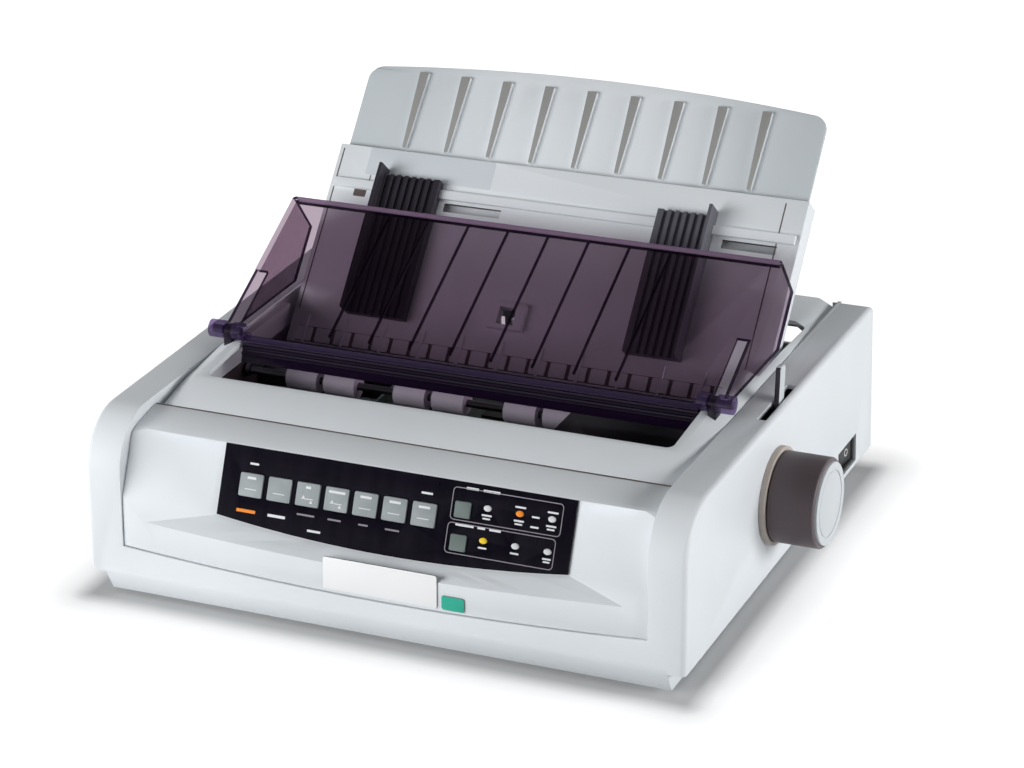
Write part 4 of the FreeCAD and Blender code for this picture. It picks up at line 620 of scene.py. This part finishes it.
# Painted shade in the separator's two slots.
print("slot faces", assign(pieces["separator_tray"], seam_shade_brown, in_slot))
print("ridge faces", assign(pieces["paper_support"], ridge_shade_grey, on_ridge))
print("lever faces", assign(pieces["release_lever"], lever_dark, lambda face: face.normal.y < -0.5))
print("blade faces", assign(pieces["power_inlet"], brass, in_blades))
board_top = 30.05 * mm
print("chip faces", assign(nodes["main_board"], socket_black, lambda face: face.center.z > board_top))

# %% [markdown]
# ## Printing on the operator panel
# The film is printed with frames, short words and marks. The words are plain bars here, and the frames are
# rounded outlines. Every mark is a thin patch that is modelled flat, as on the film's drawing, with u to the
# right and v up the slope, and is then laid onto the slope.

# %% Flat marks
ink = 0.06 * mm


def flat_plate(u, v, width, height, radius, segments):
    """A flat plate with rounded corners, all of it selected in edit mode."""
    bpy.ops.object.select_all(action="DESELECT")
    bpy.ops.mesh.primitive_plane_add(size=1.0, location=(u * mm, v * mm, 0.0))
    plate = bpy.context.active_object
    plate.scale = (width * mm, height * mm, 1.0)
    settle(plate, "mark")
    bpy.ops.object.mode_set(mode="EDIT")
    bpy.ops.mesh.select_all(action="SELECT")
    bpy.ops.mesh.bevel(offset=radius * mm, segments=segments, affect="VERTICES")
    bpy.ops.mesh.select_all(action="SELECT")
    return plate


def thicken(thickness):
    """Raises all faces of the flat mark that is being edited, and closes it."""
    bpy.ops.mesh.select_all(action="SELECT")
    bpy.ops.mesh.extrude_region_move(TRANSFORM_OT_translate={"value": (0.0, 0.0, thickness)})
    bpy.ops.mesh.select_all(action="SELECT")
    bpy.ops.mesh.normals_make_consistent(inside=False)
    object_mode()


def patch(u, v, width, height, radius, thickness=ink):
    """A thin flat patch with rounded corners, in the coordinates of the face it is laid onto."""
    mark = flat_plate(u, v, width, height, radius, 4)
    thicken(thickness)
    return mark


def outline_frame(u0, u1, v0, v1, line, radius):
    """A rounded frame: a plate whose middle is inset and taken away."""
    mark = flat_plate((u0 + u1) / 2, (v0 + v1) / 2, u1 - u0, v1 - v0, radius, 5)
    bpy.ops.mesh.inset(thickness=line * mm)
    bpy.ops.mesh.delete(type="FACE")
    thicken(ink)
    return mark


print("marks are", round(ink / mm, 3), "mm thick")

# %% Lay flat marks into their place
panel_turn = math.radians(65.4)
panel_origin = Vector((0.0, 19.4, 60.8)) * mm + body_shift
panel_place = Matrix.Translation(panel_origin) @ Matrix.Rotation(panel_turn, 4, "X")


def lay(marks, name, place, material, body):
    """Joins flat marks, gives them their colour and lays them into their place on a body."""
    piece = joined(marks, name)
    piece.data.transform(place)
    paint(piece, material)
    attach(piece, body)
    return piece


def onto_panel(marks, name, material, body="chassis", rise=0.0):
    """Lays marks onto the panel's slope, or onto what rises from it."""
    return lay(marks, name, panel_place @ Matrix.Translation((0.0, 0.0, rise * mm)), material, body)


print("panel's foot at", [round(v, 4) for v in panel_origin])

# %% Words and frames on the film
key_pitch, key_first = 19.5, -96.0
key_columns = [key_first + key_pitch * number for number in range(7)]
lamp_columns = [61.3, 82.2, 103.1]
between_lamps = 92.6
word_radius = 0.35
frame_line, frame_radius = 0.55, 2.6
key_words = [(key_columns[0], 34.2, 6.0, 1.3), (key_columns[6], 34.0, 7.6, 1.3),
             (key_columns[1], 4.6, 12.0, 1.7), (-50.0, -0.6, 9.0, 1.4)]
heading_words = [(50.0, 41.0, 8.0, 1.5), (62.5, 41.0, 11.0, 1.5),
                 (48.0, 18.6, 12.0, 1.5), (59.0, 18.6, 5.0, 1.5), (68.0, 18.6, 7.5, 1.5)]
lamp_words = [(column, v, width, height) for column in lamp_columns
              for v, width, height in ((26.6, 6.6, 1.1), (24.6, 5.0, 1.0), (7.0, 5.6, 1.1))]
lamp_words += [(column, 34.8, 7.0, 1.1) for column in lamp_columns[1:]]
lamp_words += [(lamp_columns[2], 5.2, 4.4, 1.0), (between_lamps, 30.4, 5.0, 1.1),
               (between_lamps, 24.4, 5.4, 1.1)]
words_under_keys = [(key_columns[number], 8.4, width, 1.1)
                    for number, width in ((2, 12.0), (3, 9.0), (4, 6.5), (5, 9.5))]
white_marks = [patch(*row, word_radius) for row in key_words + heading_words + lamp_words]
grey_marks = [patch(*row, word_radius) for row in words_under_keys]
grey_marks += [outline_frame(37.6, 109.6, 21.0, 41.0, frame_line, frame_radius),
               outline_frame(37.0, 107.6, 0.8, 19.6, frame_line, frame_radius)]
print("words on the film:", len(white_marks), "white and", len(words_under_keys), "grey")
onto_panel(white_marks, "film_words", print_white)
onto_panel(grey_marks, "film_frames", print_grey)
onto_panel([patch(-97.6, 4.8, 13.0, 2.0, 0.5)], "film_orange_word", print_orange)

# %% [markdown]
# ### Key legends
# Each key carries a fine line, most have a word near the upper edge, and two have a pair of small arrows. The
# marks say nothing by themselves. They ride on their own keys.

# %% Key legends
key_top = 1.2


def triangle(u, v, size):
    """A small arrow head, from a circle of three points."""
    bpy.ops.object.select_all(action="DESELECT")
    bpy.ops.mesh.primitive_circle_add(vertices=3, radius=size * mm, fill_type="NGON",
                                      location=(u * mm, v * mm, 0))
    mark = settle(bpy.context.active_object, "arrow")
    bpy.ops.object.mode_set(mode="EDIT")
    thicken(ink)
    return mark


legend_widths = [6.0, 0.0, 3.4, 11.0, 7.6, 7.6, 7.6]
arrow_keys = (3, 4)
for number, (column, width) in enumerate(zip(key_columns, legend_widths), start=1):
    marks = [patch(column, 18.4, 8.0, 0.5, 0.2)]
    if width:
        marks.append(patch(column, 25.4, width, 1.5, word_radius))
    if number in arrow_keys:
        marks.append(triangle(column - 2.6, 19.0, 1.5))
        marks.append(triangle(column + 2.8, 16.6, 1.3))
    onto_panel(marks, "key_legend_" + str(number), print_white, "key_" + str(number), key_top)
print("legends on", len(legend_widths), "keys")

# %% [markdown]
# ### Lamp lenses
# Each lamp shows through a small oval lens in the film. A lens is a squashed sphere, cut off below the film,
# so that it bulges a little. One is lit orange, one yellow, and the others are clear.

# %% Lamp lenses
lens_half_width, lens_half_height, lens_bulge, lens_sunk = 2.6 * mm, 1.9 * mm, 0.75 * mm, 0.05 * mm


def lens(u, v):
    """A squashed sphere, cut off a little below the film."""
    bpy.ops.object.select_all(action="DESELECT")
    bpy.ops.mesh.primitive_uv_sphere_add(segments=24, ring_count=12, radius=1.0,
                                         location=(u * mm, v * mm, 0.0))
    drop = bpy.context.active_object
    drop.scale = (lens_half_width, lens_half_height, lens_bulge)
    settle(drop, "lens")
    bpy.ops.object.mode_set(mode="EDIT")
    bpy.ops.mesh.select_all(action="SELECT")
    bpy.ops.mesh.bisect(plane_co=(u * mm, v * mm, -lens_sunk), plane_no=(0, 0, -1), use_fill=True,
                        clear_outer=True)
    object_mode()
    return drop


upper_row, lower_row = 30.9, 11.4
onto_panel([lens(lamp_columns[1], upper_row)], "orange_lens", lens_orange)
onto_panel([lens(lamp_columns[0], lower_row)], "yellow_lens", lens_yellow)
clear_places = [(lamp_columns[0], upper_row), (lamp_columns[2], upper_row),
                (lamp_columns[1], lower_row), (lamp_columns[2], lower_row)]
onto_panel([lens(u, v) for u, v in clear_places], "clear_lenses", lens_clear)
for name in ("orange_lens", "yellow_lens", "clear_lenses"):
    smooth(bpy.data.objects[name], 60.0)
print("lenses:", 2 + len(clear_places))

# %% [markdown]
# ## Seams and guide teeth on the separator
# The side walls are let into the separator along thin seams, and a stop for the left guide is a small slot.
# The shade in these seams and in the slot is painted, as thin dark patches. Along the foot a row of flat
# teeth leads the paper over the platen, on a dark bed that is painted shade in the gaps between the teeth.
# They are drawn flat like the marks on the panel, and laid onto the slope.

# %% Seams and guide teeth
separator_place = Matrix.Translation((shift_x, separator_y, separator_z)) @ Matrix.Rotation(slope, 4, "X")


def onto_separator(marks, name, material):
    """Lays marks onto the separator's face."""
    return lay(marks, name, separator_place, material, node_body["separator_tray"])


seam_radius = 0.2
wall_seams = [patch(u, -60.0, 0.9, 116.0, seam_radius) for u in (-164.0, 152.0)]
label_seam = patch(-139.5, -14.0, 0.8, 24.0, seam_radius)
guide_stop = patch(-144.0, -31.0, 9.0, 8.0, 0.8)
onto_separator([*wall_seams, label_seam, guide_stop], "separator_seams", seam_shade_brown)
tooth_count, tooth_pitch, tooth_gap, tooth_rise = 23, 14.1, 2.8, 1.2 * mm
tooth_v, tooth_height, tooth_radius = -135.6, 9.6, 0.8
bed_width, bed_height, bed_radius = 322.0, 10.8, 0.5
tooth_columns = [(number - tooth_count // 2) * tooth_pitch for number in range(tooth_count)]
teeth = [patch(column, tooth_v, tooth_pitch - tooth_gap, tooth_height, tooth_radius, tooth_rise)
         for column in tooth_columns]
guide_teeth = onto_separator(teeth, "guide_teeth", tray_grey)
smooth(guide_teeth, 25.0)
# The dark bed under the teeth is painted shade in the gaps between them.
onto_separator([patch(0.0, tooth_v, bed_width, bed_height, bed_radius)], "tooth_bed", seam_shade_brown)
print("teeth", len(teeth))

# %% [markdown]
# ### The seam before the deck
# Where the deck meets the front, the photograph shows a thin dark line from fin to fin: the shade in the
# narrow gap between the two mouldings. It is painted, as a flat dark strip over that gap.

# %% Deck seam
deck_seam_y, deck_seam_z = 52.0 * mm + shift_y, 113.05 * mm
deck_seam_length, deck_seam_width = 348.0, 1.6
deck_seam_place = Matrix.Translation((shift_x, deck_seam_y, deck_seam_z))
# Painted shade: a dark strip over the gap between deck and front.
deck_seam = lay([patch(0.0, 0.0, deck_seam_length, deck_seam_width, seam_radius)], "deck_seam",
                deck_seam_place, seam_shade_brown, node_body["top_cover"])
print("deck seam", [round(v, 4) for v in deck_seam.dimensions])

# %% [markdown]
# ## Marks on the power switch
# The rocker has the two usual marks, a line and a ring. They are modelled flat, one on each half of the
# rocker's face, and turned with it.

# %% Power switch marks
mark_out = 7.0
ring_radius, ring_line, ring_flatness = 2.3 * mm, 0.35 * mm, 0.3
rocker_slope = math.atan2(2.73, 29.0)
rocker_middle = Vector((195.13, 295.0, 30.25)) * mm + body_shift
facing_right = Matrix(((0, 0, 1, 0), (1, 0, 0, 0), (0, 1, 0, 0), (0, 0, 0, 1)))
rocker_place = Matrix.Translation(rocker_middle) @ Matrix.Rotation(-rocker_slope, 4, "Z") @ facing_right
bpy.ops.object.select_all(action="DESELECT")
bpy.ops.mesh.primitive_torus_add(major_radius=ring_radius, minor_radius=ring_line, major_segments=40,
                                 minor_segments=8, location=(mark_out * mm, 0, 0))
off_ring = bpy.context.active_object
off_ring.scale = (1.0, 1.0, ring_flatness)
settle(off_ring, "off_ring")
on_line = patch(-mark_out, 0.0, 0.9, 5.4, 0.3)
rocker_marks = lay([on_line, off_ring], "rocker_marks", rocker_place, print_white, "power_rocker")
smooth(rocker_marks)
print("rocker marks", len(rocker_marks.data.polygons), "faces")

# %% [markdown]
# ## Contacts in the sockets
# The parallel socket has a row of gilt contacts above and below its tongue, and the data socket has four.
# Each is a thin strip, drawn once and repeated by an array.

# %% Socket contacts
contact_end_y, contact_thickness = 338.6, 0.24


def contact_row(name, x, z, count, pitch, width, length):
    """A row of contact strips around x, which end just inside the socket's mouth."""
    bpy.ops.object.select_all(action="DESELECT")
    first = x - (count - 1) / 2 * pitch
    middle = Vector((first, contact_end_y - length / 2, z)) * mm + body_shift
    bpy.ops.mesh.primitive_cube_add(size=1.0, location=middle)
    row = bpy.context.active_object
    row.scale = (width * mm, length * mm, contact_thickness * mm)
    settle(row, name)
    array = row.modifiers.new("row", "ARRAY")
    array.count = count
    array.use_relative_offset = False
    array.use_constant_offset = True
    array.constant_offset_displace = (pitch * mm, 0, 0)
    apply_all(row)
    return row


contacts = [contact_row("upper", 80.0, 44.85, 18, 2.2, 1.2, 10.0),
            contact_row("lower", 80.0, 43.15, 18, 2.2, 1.2, 10.0),
            contact_row("data", 32.0, 44.85, 4, 1.5, 0.8, 8.0)]
socket_contacts = joined(contacts, "socket_contacts")
socket_contacts.data.materials.append(brass)
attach(socket_contacts, "chassis")
print("contacts", len(socket_contacts.data.polygons) // 6)

# %% [markdown]
# ## The knob's face
# The light face of the knob is a disc with a shallow ring groove. It is made from a cylinder: the outer
# face is inset twice and pushed in, and after one more inset its middle is brought out again.

# %% Knob face
cap_low, cap_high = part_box("knob_cap")
cap_radius = (cap_high.y - cap_low.y) / 2
cap_middle = (cap_low + cap_high) / 2
bpy.ops.object.select_all(action="DESELECT")
bpy.ops.mesh.primitive_cylinder_add(vertices=96, radius=cap_radius, depth=cap_high.x - cap_low.x,
                                    location=cap_middle, rotation=(0.0, math.radians(90.0), 0.0))
knob_face = settle(bpy.context.active_object, "knob_face")
ring_inset, groove_flank, groove_width = 4.4 * mm, 0.5 * mm, 0.7 * mm
groove_depth, middle_rise = 0.7 * mm, 0.6 * mm
select_faces(knob_face, lambda centre, normal: normal.x > 0.9)
bpy.ops.mesh.inset(thickness=ring_inset)
bpy.ops.mesh.inset(thickness=groove_flank)
bpy.ops.mesh.extrude_region_move(TRANSFORM_OT_translate={"value": (-groove_depth, 0.0, 0.0)})
bpy.ops.mesh.inset(thickness=groove_width)
bpy.ops.mesh.extrude_region_move(TRANSFORM_OT_translate={"value": (middle_rise, 0.0, 0.0)})
object_mode()
bevel(knob_face, 0.25 * mm, angle=40.0)
smooth(knob_face)
knob_face.data.materials.append(cap_grey)
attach(knob_face, "platen")
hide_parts("knob_cap")
print("knob face radius", round(cap_radius / mm, 2), "mm")

# %% [markdown]
# ## Screws at the rear
# A case screw has a domed head with a cross recess. The head is a cylinder whose rim is rounded, and a cross
# of two bars is cut out of it. It is modelled once and copied, each copy with its own mesh.

# %% Case screws
screw_places = [Vector((x, 345.0, z)) * mm + body_shift for x in (-187.0, 187.0) for z in (32.0, 100.0)]
head_radius, head_height, head_rounding = 3.8 * mm, 2.2 * mm, 0.7 * mm
recess_length, recess_depth, recess_width = 3.9 * mm, 1.2 * mm, 0.9 * mm
bpy.ops.object.select_all(action="DESELECT")
bpy.ops.mesh.primitive_cylinder_add(vertices=40, radius=head_radius, depth=head_height,
                                    location=(0, head_height / 2, 0), rotation=(math.radians(90.0), 0, 0))
screw_head = settle(bpy.context.active_object, "screw_head")
bevel(screw_head, head_rounding, 4, 40.0)
for turn in (0.0, 90.0):
    bpy.ops.object.select_all(action="DESELECT")
    bpy.ops.mesh.primitive_cube_add(size=1.0, location=(0, head_height, 0),
                                    rotation=(0, math.radians(turn), 0))
    bit = bpy.context.active_object
    bit.scale = (recess_length, 2 * recess_depth, recess_width)
    settle(bit, "bit")
    cut = screw_head.modifiers.new("recess", "BOOLEAN")
    cut.operation = "DIFFERENCE"
    cut.object = bit
    apply_all(screw_head)
    bpy.data.objects.remove(bit)
screws = []
for place in screw_places:
    copy = screw_head.copy()
    copy.data = screw_head.data.copy()
    copy.location = place
    bpy.context.scene.collection.objects.link(copy)
    screws.append(copy)
bpy.data.objects.remove(screw_head)
rear_screws = joined(screws, "rear_screws")
smooth(rear_screws)
rear_screws.data.materials.append(steel)
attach(rear_screws, "chassis")
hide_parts("case_screws")
print("rear screws", len(screw_places))

# %% [markdown]
# ## Floor, backdrop and light
# The printer stands on a plain pale floor in soft studio light. To the camera, and in gloss and glass, the
# floor glows a little by itself, more so away from the printer's footprint, and reads as white. For all other
# light it is an ordinary pale floor, and it keeps the printer's shadow.

# %% Floor
bpy.ops.object.select_all(action="DESELECT")
bpy.ops.mesh.primitive_plane_add(size=12.0, location=(0, 0, 0))
floor = settle(bpy.context.active_object, "floor")
floor_white = finish("floor_white", (186, 187, 188), (192, 193, 194), 0.7, 0.8, grain_strength=0.02)
floor.data.materials.append(floor_white)
print("floor", [round(v, 1) for v in floor.dimensions])


def seen_rays(tree):
    """A socket that is 1 for camera, glossy and transmission rays, and 0 for all others."""
    rays = tree.nodes.new("ShaderNodeLightPath")
    total = rays.outputs["Is Camera Ray"]
    for name in ("Is Glossy Ray", "Is Transmission Ray"):
        larger = tree.nodes.new("ShaderNodeMath")
        larger.operation = "MAXIMUM"
        tree.links.new(total, larger.inputs[0])
        tree.links.new(rays.outputs[name], larger.inputs[1])
        total = larger.outputs["Value"]
    return total


# %% [markdown]
# ### The floor's glow
# The glow grows with the distance from the body's footprint, so that the weak glow close to it paints a soft
# shadow round the printer. How far a place lies outside the footprint comes from its place less the
# footprint's middle, without sign, less half the footprint's size, and never below zero. The third size is
# large, so that height counts for nothing.

# %% Floor glow
footprint_middle = (shift_x, -7.9 * mm, 0.0)
footprint_half_size = (199.0 * mm, 172.0 * mm, 1.0)
# The least glow, next to the footprint, paints a soft shadow round the printer.
glow_reach, least_glow = 0.5, 0.06
white = (1.0, 1.0, 1.0, 1.0)
tree = floor_white.node_tree
place = tree.nodes.new("ShaderNodeTexCoord")
vector = place.outputs["Object"]
steps = (("SUBTRACT", footprint_middle), ("ABSOLUTE", None), ("SUBTRACT", footprint_half_size),
         ("MAXIMUM", (0.0, 0.0, 0.0)))
for operation, operand in steps:
    step = tree.nodes.new("ShaderNodeVectorMath")
    step.operation = operation
    if operand:
        step.inputs[1].default_value = operand
    tree.links.new(vector, step.inputs[0])
    vector = step.outputs["Vector"]
distance = tree.nodes.new("ShaderNodeVectorMath")
distance.operation = "LENGTH"
spread = tree.nodes.new("ShaderNodeMapRange")
spread.inputs["From Max"].default_value = glow_reach
fade = tree.nodes.new("ShaderNodeValToRGB")
fade.color_ramp.elements[0].color = (least_glow, least_glow, least_glow, 1.0)
fade.color_ramp.elements[1].color = white
for share, level in ((0.03, 0.55), (0.09, 0.86)):
    stop = fade.color_ramp.elements.new(share)
    stop.color = (level, level, level, 1.0)
glow = tree.nodes.new("ShaderNodeMath")
glow.operation = "MULTIPLY"
tree.links.new(vector, distance.inputs[0])
tree.links.new(distance.outputs["Value"], spread.inputs["Value"])
tree.links.new(spread.outputs["Result"], fade.inputs["Fac"])
tree.links.new(fade.outputs["Color"], glow.inputs[0])
tree.links.new(seen_rays(tree), glow.inputs[1])
shader_of(floor_white).inputs["Emission Color"].default_value = white
tree.links.new(glow.outputs["Value"], shader_of(floor_white).inputs["Emission Strength"])
print("floor glow over", glow_reach, "m around", [round(v, 3) for v in footprint_middle])

# %% [markdown]
# ### The world
# The world lights the printer weakly from all sides. To the camera, and in gloss and glass, it is white near
# the horizon and darker overhead, as a white backdrop under a dim ceiling looks.

# %% World
world_light = 0.13
world = bpy.data.worlds.new("studio")
bpy.context.scene.world = world
world.use_nodes = True
tree = world.node_tree
background = next(n for n in tree.nodes if n.type == "BACKGROUND")
background.inputs["Color"].default_value = white
background.inputs["Strength"].default_value = world_light
seen = tree.nodes.new("ShaderNodeBackground")
seen.inputs["Color"].default_value = white
direction = tree.nodes.new("ShaderNodeTexCoord")
parts = tree.nodes.new("ShaderNodeSeparateXYZ")
fade = tree.nodes.new("ShaderNodeMapRange")
fade.inputs["From Min"].default_value = 0.1
fade.inputs["From Max"].default_value = 0.5
fade.inputs["To Min"].default_value = 1.0
fade.inputs["To Max"].default_value = 0.2
choose = tree.nodes.new("ShaderNodeMixShader")
tree.links.new(direction.outputs["Generated"], parts.inputs["Vector"])
tree.links.new(parts.outputs["Z"], fade.inputs["Value"])
tree.links.new(fade.outputs["Result"], seen.inputs["Strength"])
tree.links.new(seen_rays(tree), choose.inputs["Fac"])
tree.links.new(background.outputs["Background"], choose.inputs[1])
tree.links.new(seen.outputs["Background"], choose.inputs[2])
output = next(n for n in tree.nodes if n.type == "OUTPUT_WORLD")
tree.links.new(choose.outputs["Shader"], output.inputs["Surface"])
print("world light", world_light)

# %% [markdown]
# ### The lamps
# Two large low lamps light the front and the right side, so that the tops stay a tone darker. A weak one
# above keeps the tops from going dull. The front lamp shows in no gloss.

# %% Lamps
def area_lamp(name, place, aim, width, height, power):
    """A soft rectangular lamp at a place, turned towards its aim."""
    data = bpy.data.lights.new(name, "AREA")
    data.shape = "RECTANGLE"
    data.size = width
    data.size_y = height
    data.energy = power
    lamp = bpy.data.objects.new(name, data)
    lamp.location = place
    lamp.rotation_euler = (Vector(aim) - Vector(place)).to_track_quat("-Z", "Y").to_euler()
    bpy.context.scene.collection.objects.link(lamp)
    return lamp


area_lamp("key_from_the_right", (2.4, 0.2, 0.62), (0, 0, 0.1), 1.6, 0.8, 44.0)
front = area_lamp("front_left", (-1.05, -1.45, 0.56), (-0.05, 0, 0.12), 1.6, 0.7, 31.0)
front.visible_glossy = False
area_lamp("soft_top", (-0.2, 0.5, 2.2), (0, 0, 0), 1.6, 1.6, 1.5)
print("lamps", len(bpy.data.lights))
